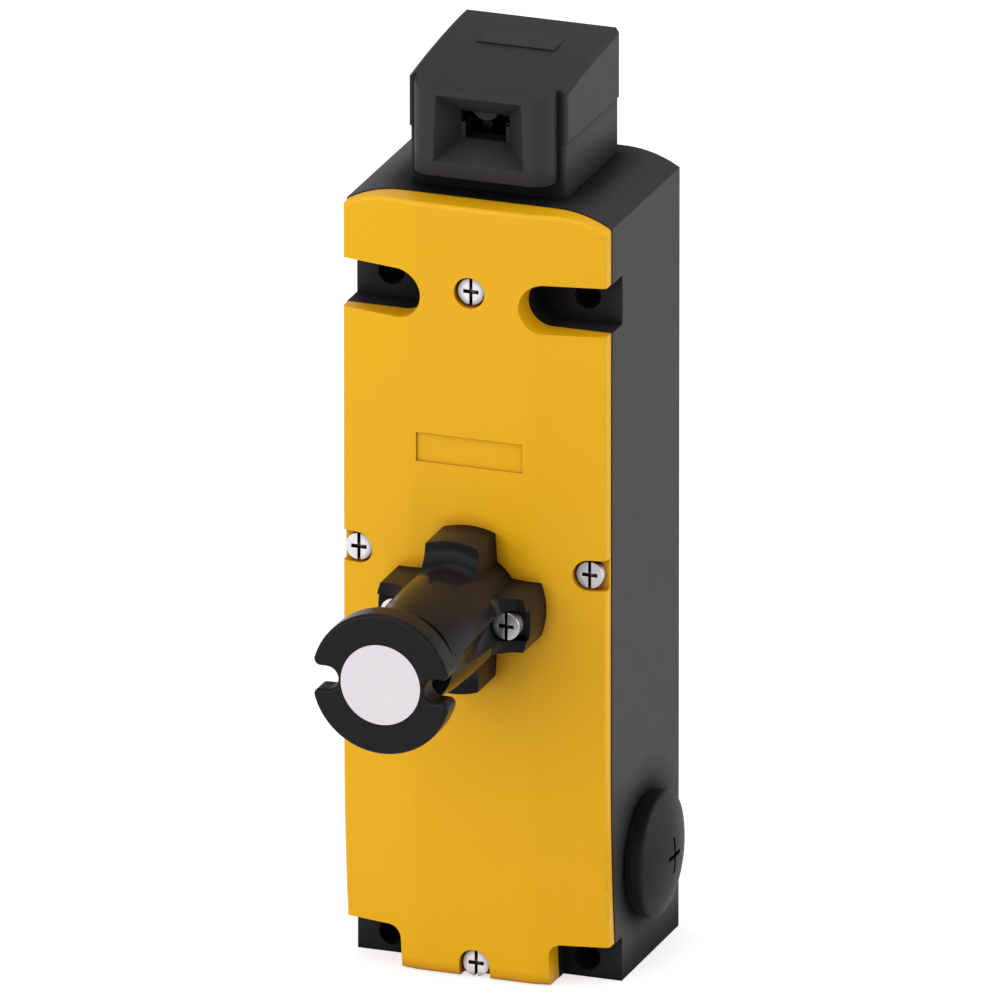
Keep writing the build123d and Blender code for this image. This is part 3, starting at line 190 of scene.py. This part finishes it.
def buildMarksGroup():
    # tool marks: noise drawn out along the piece's X, Y or Z by the stretch input
    group, enter, leave = makeGroup(
        "toolMarks",
        [("Stretch", "NodeSocketVector", (1.0, 1.0, 1.0)), ("Size", "NodeSocketFloat", 400.0)],
        [("Height", "NodeSocketFloat"), ("Streak", "NodeSocketFloat")],
    )
    link = group.links.new
    coords = addNode(group, "ShaderNodeTexCoord", (-700, 200))
    spread = addNode(group, "ShaderNodeVectorMath", (-480, 150), operation="MULTIPLY")
    fine = setInputs(addNode(group, "ShaderNodeTexNoise", (-250, 220)), **groupSet["fine"])
    slow = setInputs(addNode(group, "ShaderNodeTexNoise", (-250, -60)), **groupSet["slow"])
    link(coords.outputs["Object"], spread.inputs[0])
    link(enter.outputs["Stretch"], spread.inputs[1])
    link(spread.outputs["Vector"], fine.inputs["Vector"])
    link(coords.outputs["Object"], slow.inputs["Vector"])
    link(enter.outputs["Size"], fine.inputs["Scale"])
    link(fine.outputs["Fac"], leave.inputs["Height"])
    link(slow.outputs["Fac"], leave.inputs["Streak"])
    return group


def buildPaintedShadeGroup():
    # how open the surface is, by ambient occlusion: 1 in the open, down to 0 deep in slots and
    # pockets; it sets where shade is painted
    group, enter, leave = makeGroup(
        "paintedShadeMask",
        [("Reach", "NodeSocketFloat", 0.008), ("Power", "NodeSocketFloat", 1.0)],
        [("Open", "NodeSocketFloat")],
    )
    link = group.links.new
    samples = groupSet["paintedShadeSamples"]
    around = addNode(group, "ShaderNodeAmbientOcclusion", (-300, 0), samples=samples)
    bend = addNode(group, "ShaderNodeMath", (0, 0), operation="POWER")
    link(enter.outputs["Reach"], around.inputs["Distance"])
    link(around.outputs["AO"], bend.inputs[0])
    link(enter.outputs["Power"], bend.inputs[1])
    link(bend.outputs[0], leave.inputs["Open"])
    return group


def buildRingsGroup():
    # turned face: fine rings round the centre of a screw head, whose UV is in millimetres
    group, enter, leave = makeGroup(
        "turnedRings", [("Size", "NodeSocketFloat", 9.0)], [("Height", "NodeSocketFloat")]
    )
    link = group.links.new
    coords = addNode(group, "ShaderNodeTexCoord", (-700, 0))
    radius = addNode(group, "ShaderNodeVectorMath", (-480, 0), operation="LENGTH")
    rings = addNode(group, "ShaderNodeTexNoise", (-200, 0), noise_dimensions="1D")
    setInputs(rings, **groupSet["rings"])
    link(coords.outputs["UV"], radius.inputs[0])
    link(radius.outputs["Value"], rings.inputs["W"])
    link(enter.outputs["Size"], rings.inputs["Scale"])
    link(rings.outputs["Fac"], leave.inputs["Height"])
    return group


grainGroup = buildGrainGroup()
marksGroup = buildMarksGroup()
paintedShadeGroup = buildPaintedShadeGroup()
ringsGroup = buildRingsGroup()


def tintBetween(tree, value, low, high, at=(-300, 300)):
    # colour that runs from low to high with a value over the surface
    mix = addNode(tree, "ShaderNodeMix", at, data_type="RGBA")
    mix.inputs[mixLow].default_value = (*low, 1.0)
    mix.inputs[mixHigh].default_value = (*high, 1.0)
    tree.links.new(value, mix.inputs[mixFactor])
    return mix


def valueBetween(tree, value, low, high, at=(-300, 0)):
    # number that runs from low to high with a value over the surface
    spread = setInputs(addNode(tree, "ShaderNodeMapRange", at), To_Min=low, To_Max=high)
    tree.links.new(value, spread.inputs["Value"])
    return spread


def bumpFrom(tree, height, shader, strength, distance, soft=0.0):
    # bump from a height, on top of edges that look rounded over the radius soft
    bump = addNode(tree, "ShaderNodeBump", (-300, -300))
    setInputs(bump, Strength=strength, Distance=distance)
    tree.links.new(height, bump.inputs["Height"])
    if soft:
        samples = groupSet["edgeSamples"]
        edge = addNode(tree, "ShaderNodeBevel", (-500, -300), samples=samples)
        setInputs(edge, Radius=soft)
        tree.links.new(edge.outputs["Normal"], bump.inputs["Normal"])
    tree.links.new(bump.outputs["Normal"], shader.inputs["Normal"])


def paintShadeInNooks(tree, shader, tint, gloss, s):
    # painted shade: closed-in places fall to the painted shade colour, and their roughness goes to
    # dull
    paintedShade = useGroup(tree, paintedShadeGroup, (-900, 500), Reach=s["reach"], Power=s["power"])
    shaded = tintBetween(tree, paintedShade.outputs["Open"], s["paintedShade"], s["paintedShade"])
    dulled = valueBetween(tree, paintedShade.outputs["Open"], s["dull"], 1.0)
    tree.links.new(tint.outputs[mixResult], shaded.inputs[mixHigh])
    tree.links.new(gloss.outputs["Result"], dulled.inputs["To Max"])
    tree.links.new(shaded.outputs[mixResult], shader.inputs["Base Color"])
    tree.links.new(dulled.outputs["Result"], shader.inputs["Roughness"])


# Moulded plastics: one recipe, its own values for each finish
# The darkest colour listed for each finish is painted shade. Its closed-in places fall to it within
# the reach, and so does surface near the floor. A higher power makes the fall steeper.
plasticSet = {
    "grey_housing": {
        "low": (0.030, 0.028, 0.030), "high": (0.035, 0.033, 0.035), "paintedShade": (0.002, 0.0015, 0.002),
        "gloss": (0.46, 0.54), "grain": 4200.0, "mottle": 110.0, "bump": 0.22, "depth": 0.03 * mm,
        "level": 0.19, "soft": 0.25 * mm, "reach": 8 * mm, "power": 3.4, "dull": 0.9,
    },
    "yellow_cover": {
        "low": (0.865, 0.462, 0.003), "high": (0.895, 0.486, 0.006), "paintedShade": (0.36, 0.09, 0.001),
        "gloss": (0.34, 0.42), "grain": 1500.0, "mottle": 45.0, "bump": 0.05, "depth": 0.03 * mm,
        "level": 0.26, "soft": 0.2 * mm, "reach": 3 * mm, "power": 1.1, "dull": 0.6,
    },
    "plug_plastic": {
        "low": (0.009, 0.008, 0.009), "high": (0.012, 0.011, 0.012), "paintedShade": (0.002, 0.002, 0.002),
        "gloss": (0.42, 0.52), "grain": 3000.0, "mottle": 140.0, "bump": 0.12, "depth": 0.03 * mm,
        "level": 0.14, "soft": 0.15 * mm, "reach": 7 * mm, "power": 2.0, "dull": 0.7,
    },
    "inner_plastic": {
        "low": (0.62, 0.60, 0.53), "high": (0.70, 0.68, 0.61), "paintedShade": (0.30, 0.27, 0.22),
        "gloss": (0.42, 0.52), "grain": 2500.0, "mottle": 120.0, "bump": 0.10, "depth": 0.03 * mm,
        "level": 0.5, "soft": 0.1 * mm, "reach": 6 * mm, "power": 1.0, "dull": 0.6,
    },
    "black_release": {
        "low": (0.014, 0.013, 0.014), "high": (0.018, 0.017, 0.018), "paintedShade": (0.002, 0.002, 0.002),
        "gloss": (0.16, 0.24), "grain": 2600.0, "mottle": 90.0, "bump": 0.04, "depth": 0.03 * mm,
        "level": 0.08, "soft": 0.25 * mm, "reach": 6 * mm, "power": 2.0, "dull": 0.5,
    },
    "white_inlay": {
        "low": (0.79, 0.765, 0.79), "high": (0.83, 0.805, 0.83), "paintedShade": (0.55, 0.52, 0.55),
        "gloss": (0.38, 0.46), "grain": 2600.0, "mottle": 160.0, "bump": 0.03, "depth": 0.02 * mm,
        "level": 0.4, "soft": 0.1 * mm, "reach": 3 * mm, "power": 1.0, "dull": 0.5,
    },
    "seal_rubber": {
        "low": (0.012, 0.012, 0.013), "high": (0.020, 0.020, 0.021), "paintedShade": (0.003, 0.003, 0.003),
        "gloss": (0.68, 0.80), "grain": 3600.0, "mottle": 300.0, "bump": 0.30, "depth": 0.04 * mm,
        "level": 0.35, "soft": 0.1 * mm, "reach": 5 * mm, "power": 1.2, "dull": 0.9,
    },
}


def plasticFinish(name, s):
    material, tree, shader = makeMaterial(name, s["low"], s["gloss"][0], level=s["level"])
    skin = useGroup(tree, grainGroup, (-900, 0), Grain_size=s["grain"], Mottle_size=s["mottle"])
    tint = tintBetween(tree, skin.outputs["Mottle"], s["low"], s["high"], (-600, 300))
    gloss = valueBetween(tree, skin.outputs["Mottle"], *s["gloss"], (-600, 0))
    paintShadeInNooks(tree, shader, tint, gloss, s)
    bumpFrom(tree, skin.outputs["Height"], shader, s["bump"], s["depth"], s["soft"])
    return material


# Metals: tool marks drawn out along the turning or rolling direction
metalSet = {
    "screw_steel": {
        "low": (0.74, 0.74, 0.75), "high": (0.86, 0.86, 0.87), "gloss": (0.20, 0.34),
        "stretch": (6.0, 1.0, 6.0), "size": 260.0, "bump": 0.10, "depth": 0.02 * mm,
    },
    "turned_steel": {
        "low": (0.50, 0.50, 0.51), "high": (0.62, 0.62, 0.63), "gloss": (0.28, 0.42),
        "stretch": (1.0, 1.0, 12.0), "size": 240.0, "bump": 0.15, "depth": 0.03 * mm,
    },
    "cam_metal": {
        "low": (0.035, 0.034, 0.036), "high": (0.060, 0.058, 0.061), "gloss": (0.40, 0.54),
        "stretch": (1.0, 1.0, 1.0), "size": 900.0, "bump": 0.20, "depth": 0.03 * mm,
    },
    "contact_brass": {
        "low": (0.68, 0.50, 0.20), "high": (0.78, 0.60, 0.28), "gloss": (0.24, 0.36),
        "stretch": (1.0, 10.0, 1.0), "size": 260.0, "bump": 0.12, "depth": 0.02 * mm,
    },
}


def metalFinish(name, s):
    material, tree, shader = makeMaterial(name, s["low"], s["gloss"][0], metallic=1.0)
    marks = useGroup(tree, marksGroup, (-700, 0), Stretch=s["stretch"], Size=s["size"])
    tint = tintBetween(tree, marks.outputs["Streak"], s["low"], s["high"])
    gloss = valueBetween(tree, marks.outputs["Height"], *s["gloss"])
    tree.links.new(tint.outputs[mixResult], shader.inputs["Base Color"])
    tree.links.new(gloss.outputs["Result"], shader.inputs["Roughness"])
    bumpFrom(tree, marks.outputs["Height"], shader, s["bump"], s["depth"])
    return material


# Winding: rows of enamelled wire round the bobbin
windingSet = {
    "wire": 0.32 * mm, "low": (0.40, 0.13, 0.04), "high": (0.62, 0.24, 0.09), "gloss": (0.34, 0.22),
    "metallic": 0.9, "wander": 0.15, "detail": 1.0, "bump": 0.8, "depth": 0.1 * mm,
    "bandTurn": 20.0,  # radians that a wave texture runs through over a length of 1 at scale 1
}


def windingFinish(name, s):
    material, tree, shader = makeMaterial(name, s["high"], s["gloss"][0], s["metallic"])
    coords = addNode(tree, "ShaderNodeTexCoord", (-1000, 0))
    rows = addNode(tree, "ShaderNodeTexWave", (-750, 0), bands_direction="Z", wave_profile="SIN")
    scale = 2 * math.pi / (s["bandTurn"] * s["wire"])  # one band for each wire
    setInputs(rows, Scale=scale, Distortion=s["wander"], Detail=s["detail"])
    tree.links.new(coords.outputs["Object"], rows.inputs["Vector"])
    # colour runs darker down into the grooves between the wires and lighter on their crests:
    # painted shade
    tint = tintBetween(tree, rows.outputs["Fac"], s["low"], s["high"])
    gloss = valueBetween(tree, rows.outputs["Fac"], *s["gloss"])
    tree.links.new(tint.outputs[mixResult], shader.inputs["Base Color"])
    tree.links.new(gloss.outputs["Result"], shader.inputs["Roughness"])
    bumpFrom(tree, rows.outputs["Fac"], shader, s["bump"], s["depth"])
    return material


# Bright zinc of the screws: turned rings on the heads, mottled passivation, and painted shade that
# falls to near black in the slots
zincSet = {
    "low": (0.74, 0.72, 0.74), "high": (0.88, 0.86, 0.88), "paintedShade": (0.010, 0.008, 0.010),
    "gloss": (0.22, 0.38), "grain": 900.0, "mottle": 420.0, "rings": 9.0, "bump": 0.3,
    "depth": 0.01 * mm, "reach": 1.6 * mm, "power": 2.6, "dull": 0.7,
}


def zincFinish(name, s):
    material, tree, shader = makeMaterial(name, s["high"], s["gloss"][0], metallic=1.0)
    rings = useGroup(tree, ringsGroup, (-900, -300), Size=s["rings"])
    skin = useGroup(tree, grainGroup, (-900, 0), Grain_size=s["grain"], Mottle_size=s["mottle"])
    tint = tintBetween(tree, skin.outputs["Mottle"], s["low"], s["high"], (-600, 300))
    gloss = valueBetween(tree, skin.outputs["Mottle"], *s["gloss"], (-600, 0))
    paintShadeInNooks(tree, shader, tint, gloss, s)
    bumpFrom(tree, rings.outputs["Height"], shader, s["bump"], s["depth"])
    return material


finishes = {name: plasticFinish(name, s) for name, s in plasticSet.items()}
finishes.update({name: metalFinish(name, s) for name, s in metalSet.items()})
finishes["copper_wire"] = windingFinish("copper_wire", windingSet)
finishes["screw_zinc"] = zincFinish("screw_zinc", zincSet)
print("finishes made,", len(finishes))

for part in frame["record"]["subparts"]:
    slots = nodes[part["node"]].data.materials
    slots.clear()
    slots.append(finishes[part["material_slot"]])
print("nodes dressed")


# New pieces: points are rows of x, y, z, and blocks are arrays of faces, whose rows are the numbers
# of one face's corners
def newPiece(name, points, blocks, finish, nodeName):
    corners = np.concatenate([block.ravel() for block in blocks])
    sides = np.concatenate([np.full(len(block), block.shape[1]) for block in blocks])
    mesh = bpy.data.meshes.new(name)
    mesh.vertices.add(len(points))
    mesh.loops.add(len(corners))
    mesh.polygons.add(len(sides))
    mesh.vertices.foreach_set("co", points.ravel())
    mesh.loops.foreach_set("vertex_index", corners)
    mesh.polygons.foreach_set("loop_start", np.cumsum(sides) - sides)
    mesh.update(calc_edges=True)
    mesh.materials.append(finish)
    piece = bpy.data.objects.new(name, mesh)
    scene.collection.objects.link(piece)
    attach(piece, "switch")
    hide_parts(nodeName)
    return piece, corners


def circlePoints(radius, angle):
    return np.stack([radius * np.cos(angle), radius * np.sin(angle)], axis=-1)


def wallFaces(low, high):
    # quads between two closed loops of points, the second above the first
    return np.stack([low, np.roll(low, -1), np.roll(high, -1), high], axis=-1)


def tubeFaces(rows, around):
    # rings of points joined into a tube, each to the next, and closed by a face at each end
    ring = np.arange(around)
    step = around * np.arange(rows - 1)[:, None, None]
    walls = (wallFaces(ring, ring + around) + step).reshape(-1, 4)
    return [walls, ring[None, ::-1], ring[None, :] + around * (rows - 1)]


def headSurface(s):
    # cheese head: a circle of radius headR with the slot |x| < slotHalf cut across it, and a bay
    # |y| < armHalf out to |x| = armEnd on each side, both down to slotDeep under the top, which is
    # at z = headH
    side, arm, reach = s["slotHalf"], s["armHalf"], s["armEnd"]
    turn = math.acos(side / s["headR"])
    arc = circlePoints(s["headR"], np.linspace(-turn, turn, s["arcPoints"]))
    mouth = circlePoints(s["headR"], np.linspace(turn, math.pi - turn, s["mouthPoints"])[1:-1])
    bay = np.array([[side, arm], [reach, arm], [reach, -arm], [side, -arm]])
    rim = np.concatenate([arc, mouth, -arc, -mouth])
    flat = np.concatenate([rim, rim, bay, -bay, arc, bay, -arc, -bay])
    arcs, bays, rims = len(arc), len(bay), len(rim)
    half = arcs + len(mouth)  # points in half of the rim
    levels = [0.0, s["headH"] - s["slotDeep"], s["headH"]]
    height = np.repeat(levels, [rims, rims + 2 * bays, 2 * (arcs + bays)])
    # numbers of the points in each loop, counter-clockwise from above
    foot, deck = np.arange(rims), np.arange(rims, 2 * rims)
    rightBay = np.arange(bays) + 2 * rims
    leftBay = rightBay + bays
    rightTop = np.arange(arcs + bays) + 2 * (rims + bays)
    leftTop = rightTop + arcs + bays
    rightDeck = np.concatenate([deck[:arcs], rightBay])
    leftDeck = np.concatenate([deck[half:half + arcs], leftBay])
    floor = np.concatenate([
        deck[:1], rightBay[::-1], deck[arcs - 1:half + 1], leftBay[::-1], deck[half + arcs - 1:],
    ])
    walls = [wallFaces(foot, deck), wallFaces(rightDeck, rightTop), wallFaces(leftDeck, leftTop)]
    lids = [foot[None, ::-1], floor[None, :], rightTop[None, :], leftTop[None, :]]
    return np.column_stack([flat, height]), lids + walls


def shankSurface(s):
    # radius = shankR - threadDeep * (1 - wave * fade), where wave = (1 + cos(2 pi turns t - angle))
    # / 2 over the length t from 0 to 1, and fade takes it to the core in the first and last turn
    turns = round(s["shankLong"] / s["pitch"])
    t = np.linspace(0, 1, turns * s["perTurn"] + 1)[:, None]
    angle = np.linspace(0, 2 * math.pi, s["around"], endpoint=False)[None, :]
    wave = (1 + np.cos(2 * math.pi * turns * t - angle)) / 2
    fade = np.clip(np.minimum(t, 1 - t) * turns, 0, 1)
    radius = s["shankR"] - s["threadDeep"] * (1 - wave * fade)
    sunk = (s["headH"] - s["slotDeep"]) / 2  # the shank's end inside the head
    height = np.broadcast_to(-s["shankLong"] + t * (s["shankLong"] + sunk), radius.shape)
    points = np.dstack([circlePoints(radius, angle), height]).reshape(-1, 3)
    return points, tubeFaces(len(t), s["around"])


def screwPiece(name, s):
    # all the screws of one group in a mesh: the head and shank surfaces, turned by the frame and
    # copied to every place, with flat faces on the heads and smooth shanks
    head, headFaces = headSurface(s)
    shank, shankFaces = shankSurface(s)
    local = np.concatenate([head, shank])
    blocks = headFaces + [block + len(head) for block in shankFaces]
    places = np.array(s["places"], float)
    starts = len(local) * np.arange(len(places))[:, None, None]
    copies = [(block + starts).reshape(-1, block.shape[1]) for block in blocks]
    points = (local @ np.array(s["frame"], float) + places[:, None, :]).reshape(-1, 3) * mm
    piece, corners = newPiece(
        name, points, copies, finishes["screw_zinc"], s["node"]
    )
    mesh = piece.data
    flat = np.tile(local[:, :2], (len(places), 1))
    mesh.uv_layers.new(name="face").data.foreach_set("uv", flat[corners].ravel())
    smooth = [np.full(len(copy), i >= len(headFaces)) for i, copy in enumerate(copies)]
    mesh.polygons.foreach_set("use_smooth", np.concatenate(smooth))
    edge = piece.modifiers.new("softEdges", "BEVEL")
    edge.width = s["edge"]
    edge.segments = s["edgeSteps"]
    edge.angle_limit = math.radians(s["edgeAngle"])


# Frames: the directions of a piece's right, up and out
facingFront = [(1, 0, 0), (0, 0, 1), (0, -1, 0)]
facingDown = [(1, 0, 0), (0, -1, 0), (0, 0, -1)]
facingUp = [(1, 0, 0), (0, 1, 0), (0, 0, 1)]
coverScrewSet = {
    "places": [(0, -40.8, 69.3), (0, -37.92, -68.65), (-23.5, -39.0, 14.0), (23.5, -39.0, 14.0)],
    "frame": facingFront, "headR": 2.7, "headH": 2.0, "arcPoints": 49, "mouthPoints": 7,
    "slotHalf": 0.30, "slotDeep": 1.3, "armHalf": 0.38, "armEnd": 1.55,
    "edge": 0.06 * mm, "edgeSteps": 2, "edgeAngle": 70,
    "shankR": 1.5, "shankLong": 7.3, "pitch": 0.5, "threadDeep": 0.25, "around": 24, "perTurn": 8,
    "node": "cover_screws",
}
releaseScrewSet = {
    **coverScrewSet, "places": [(-11.4, -52.1, 6.7), (11.4, -52.1, 6.7)], "headR": 2.75,
    "headH": 2.5, "slotDeep": 1.5, "shankLong": 14.4, "node": "release_screws",
}
headScrewSet = {
    **coverScrewSet, "places": [(x, y, 84.1) for x in (-10.8, 10.8) for y in (-28.5, -8.4)],
    "frame": facingDown, "shankLong": 8.0, "node": "head_screws",
}
leftTerminalSet = {
    **coverScrewSet, "places": [(x, -29.4, z) for x in (-18.5, -12.0) for z in (30.9, 46.9)],
    "headR": 2.4, "headH": 1.6, "slotDeep": 0.9, "armEnd": 1.4, "shankR": 1.9, "shankLong": 7.0,
    "pitch": 0.6, "threadDeep": 0.3, "node": "left_terminal_screws",
}
rightTerminalSet = {
    **leftTerminalSet, "places": [(x, -29.4, z) for x in (12.0, 18.5) for z in (30.9, 46.9)],
    "node": "right_terminal_screws",
}
screwPiece("coverScrew", coverScrewSet)
screwPiece("releaseScrew", releaseScrewSet)
screwPiece("headScrew", headScrewSet)
screwPiece("leftTerminalScrew", leftTerminalSet)
screwPiece("rightTerminalScrew", rightTerminalSet)
print("screws made")


def springPiece(name, s):
    # round wire along a helix: its centre climbs one wire a turn in the closed end turns and
    # evenly between them, at the radius outerR - wire / 2
    wire, turns, closed, around = s["wire"], s["turns"], s["closed"], s["around"]
    turn = np.linspace(0, turns, int(turns * s["perTurn"]) + 1)[:, None]
    ends = wire * (np.minimum(turn, closed) + np.maximum(turn - turns + closed, 0))
    climb = s["length"] - wire * (1 + 2 * closed)
    middle = climb * np.clip((turn - closed) / (turns - 2 * closed), 0, 1)
    ring = np.linspace(0, 2 * math.pi, around, endpoint=False)[None, :]
    radius = s["outerR"] - wire / 2 * (1 - np.cos(ring))
    height = wire / 2 * (1 - np.sin(ring)) + ends + middle
    local = np.dstack([circlePoints(radius, 2 * math.pi * turn), height]).reshape(-1, 3)
    points = (local @ np.array(s["frame"], float) + np.array(s["at"])) * mm
    faces = tubeFaces(len(turn), around)
    finish = finishes["turned_steel"]
    piece, _ = newPiece(name, points, faces, finish, s["node"])
    piece.data.shade_smooth()
    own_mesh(piece)


returnSpringSet = {
    "at": (0, -56.0, 6.7), "frame": facingFront, "outerR": 5.1, "wire": 0.9, "length": 12.0,
    "turns": 5.0, "closed": 0.75, "around": 12, "perTurn": 36,
    "joint": "release_push", "travel": 7.0, "node": "return_spring",
}
lockSpringSet = {
    **returnSpringSet, "at": (0, -18.5, -27.3), "frame": facingUp, "outerR": 2.4, "wire": 0.6,
    "length": 11.7, "turns": 9.0, "closed": 0.9,
    "joint": "lock_rod_travel", "travel": 4.1, "node": "lock_spring",
}
springPiece("returnSpring", returnSpringSet)
springPiece("lockSpring", lockSpringSet)
print("springs made")

# Left blanking plug: nothing shows past the cover's edge on that side, so its cap is flatter
flatPlugSet = {
    "base": 28.3,  # where the cap starts, left of the middle
    "share": 0.65,  # of the cap's height that is kept
    "sharp": 30,  # degrees between faces from which an edge stays sharp
    "decimals": 4,  # points that agree in mm to as many are one
    "node": "left_plug",
}


def flatPlug(name, s):
    # the node's own surface with its doubles merged: up to the cap's base x stays as it is, and
    # past it x' = -base + share * (x + base)
    source = nodes[s["node"]].data
    spots = np.empty(3 * len(source.vertices))
    corners = np.empty(len(source.loops), np.int32)
    source.vertices.foreach_get("co", spots)
    source.loops.foreach_get("vertex_index", corners)
    spots = np.round(spots.reshape(-1, 3) / mm, s["decimals"])
    points, joined = np.unique(spots, axis=0, return_inverse=True)
    points[:, 0] -= (1 - s["share"]) * np.minimum(points[:, 0] + s["base"], 0)
    triangles = joined.ravel()[corners].reshape(-1, 3)
    a, b, c = triangles.T
    triangles = triangles[(a != b) & (b != c) & (c != a)]  # the merging leaves some with no area
    finish = finishes["plug_plastic"]
    piece, _ = newPiece(name, points * mm, [triangles], finish, s["node"])
    piece.data.shade_smooth()
    piece.data.set_sharp_from_angle(angle=math.radians(s["sharp"]))


flatPlug("leftPlugFlat", flatPlugSet)
print("left plug made")

# Studio: pale floor, soft panels left of the front, at the right and above
studioSet = {
    "floorSize": 12.0,
    "floorBase": (0.60, 0.60, 0.60),
    "floorRough": 0.9,
    "floorGlow": 0.66,
    "worldLight": 0.49,
    "lightTint": (1.0, 0.965, 0.99),
    "mirrorShare": 0.6,  # of the floor's glow, in reflections
    "mirrorLow": 0.95,  # world in reflections, at the horizon
    "mirrorHigh": 0.30,  # and overhead
    "mirrorFall": 0.5,  # height of the view direction where the overhead value is reached
    "panels": [
        {"name": "frontPanel", "at": (-0.65, -1.55, 0.45), "size": 2.0, "power": 23.4},
        {"name": "rightPanel", "at": (1.65, 0.5, 0.5), "size": 1.2, "power": 14.0},
        {"name": "topPanel", "at": (-0.2, -0.1, 1.8), "size": 1.2, "power": 7.5},
    ],
}


def seenRays(tree, at, mirror):
    # 1 for camera and glass rays, a share for mirror rays, 0 for rays that only light things
    path = addNode(tree, "ShaderNodeLightPath", at)
    share = addNode(tree, "ShaderNodeMath", (at[0] + 200, at[1] - 150), operation="MULTIPLY")
    share.inputs[1].default_value = mirror
    first = addNode(tree, "ShaderNodeMath", (at[0] + 200, at[1]), operation="MAXIMUM")
    second = addNode(tree, "ShaderNodeMath", (at[0] + 400, at[1]), operation="MAXIMUM")
    tree.links.new(path.outputs["Is Glossy Ray"], share.inputs[0])
    tree.links.new(path.outputs["Is Camera Ray"], first.inputs[0])
    tree.links.new(path.outputs["Is Transmission Ray"], first.inputs[1])
    tree.links.new(first.outputs[0], second.inputs[0])
    tree.links.new(share.outputs[0], second.inputs[1])
    return path, second.outputs[0]


def makeWorld(s):
    # white to the camera, soft light for surfaces, and in reflections bright low and dim overhead
    world = bpy.data.worlds.new("studioWorld")
    world.use_nodes = True
    tree = world.node_tree
    tree.nodes.clear()
    lightOnly = setInputs(addNode(tree, "ShaderNodeBackground", (0, 200)), Strength=s["worldLight"])
    seen = setInputs(addNode(tree, "ShaderNodeBackground", (0, 0)), Strength=1.0)
    mirrored = addNode(tree, "ShaderNodeBackground", (0, -200))
    seen.inputs["Color"].default_value = (1.0, 1.0, 1.0, 1.0)
    for shade in (lightOnly, mirrored):
        shade.inputs["Color"].default_value = (*s["lightTint"], 1.0)
    coords = addNode(tree, "ShaderNodeTexCoord", (-700, -300))
    parts = addNode(tree, "ShaderNodeSeparateXYZ", (-500, -300))
    fall = addNode(tree, "ShaderNodeMapRange", (-250, -300), interpolation_type="SMOOTHSTEP")
    setInputs(fall, From_Max=s["mirrorFall"], To_Min=s["mirrorLow"], To_Max=s["mirrorHigh"])
    first = addNode(tree, "ShaderNodeMixShader", (250, 0))
    second = addNode(tree, "ShaderNodeMixShader", (450, 0))
    leave = addNode(tree, "ShaderNodeOutputWorld", (650, 0))
    path, seenShare = seenRays(tree, (-700, 100), 0.0)  # mirror rays get the mirrored shade
    link = tree.links.new
    link(coords.outputs["Generated"], parts.inputs[0])
    link(parts.outputs["Z"], fall.inputs["Value"])
    link(fall.outputs["Result"], mirrored.inputs["Strength"])
    link(path.outputs["Is Glossy Ray"], first.inputs["Fac"])
    link(lightOnly.outputs[0], first.inputs[1])
    link(mirrored.outputs[0], first.inputs[2])
    link(seenShare, second.inputs["Fac"])
    link(first.outputs[0], second.inputs[1])
    link(seen.outputs[0], second.inputs[2])
    link(second.outputs[0], leave.inputs["Surface"])
    scene.world = world


def makeFloor(s):
    corners = np.array([(-1, -1, 0), (1, -1, 0), (1, 1, 0), (-1, 1, 0)], float) * s["floorSize"] / 2
    corners[:, 2] = cadBox[0][2]
    mesh = bpy.data.meshes.new("studioFloor")
    mesh.from_pydata(corners.tolist(), [], [(0, 1, 2, 3)])
    floor = bpy.data.objects.new("studioFloor", mesh)
    scene.collection.objects.link(floor)
    material, tree, shader = makeMaterial("studioFloor", s["floorBase"], s["floorRough"], level=0.0)
    glow = setInputs(addNode(tree, "ShaderNodeEmission", (0, -300)), Strength=s["floorGlow"])
    lit = addNode(tree, "ShaderNodeAddShader", (250, -150))
    mix = addNode(tree, "ShaderNodeMixShader", (450, 0))
    leave = tree.nodes["Material Output"]
    tree.links.new(shader.outputs[0], lit.inputs[0])
    tree.links.new(glow.outputs[0], lit.inputs[1])
    tree.links.new(seenRays(tree, (-400, 300), s["mirrorShare"])[1], mix.inputs["Fac"])
    tree.links.new(shader.outputs[0], mix.inputs[1])
    tree.links.new(lit.outputs[0], mix.inputs[2])
    tree.links.new(mix.outputs[0], leave.inputs["Surface"])
    mesh.materials.append(material)


def makePanel(s, tint):
    light = bpy.data.lights.new(s["name"], "AREA")
    light.color = tint
    light.size = s["size"]
    light.energy = s["power"]
    lamp = bpy.data.objects.new(s["name"], light)
    scene.collection.objects.link(lamp)
    lamp.location = s["at"]
    lamp.rotation_euler = Vector(s["at"]).to_track_quat("Z", "Y").to_euler()


makeWorld(studioSet)
makeFloor(studioSet)
for panel in studioSet["panels"]:
    makePanel(panel, studioSet["lightTint"])
print("studio set")
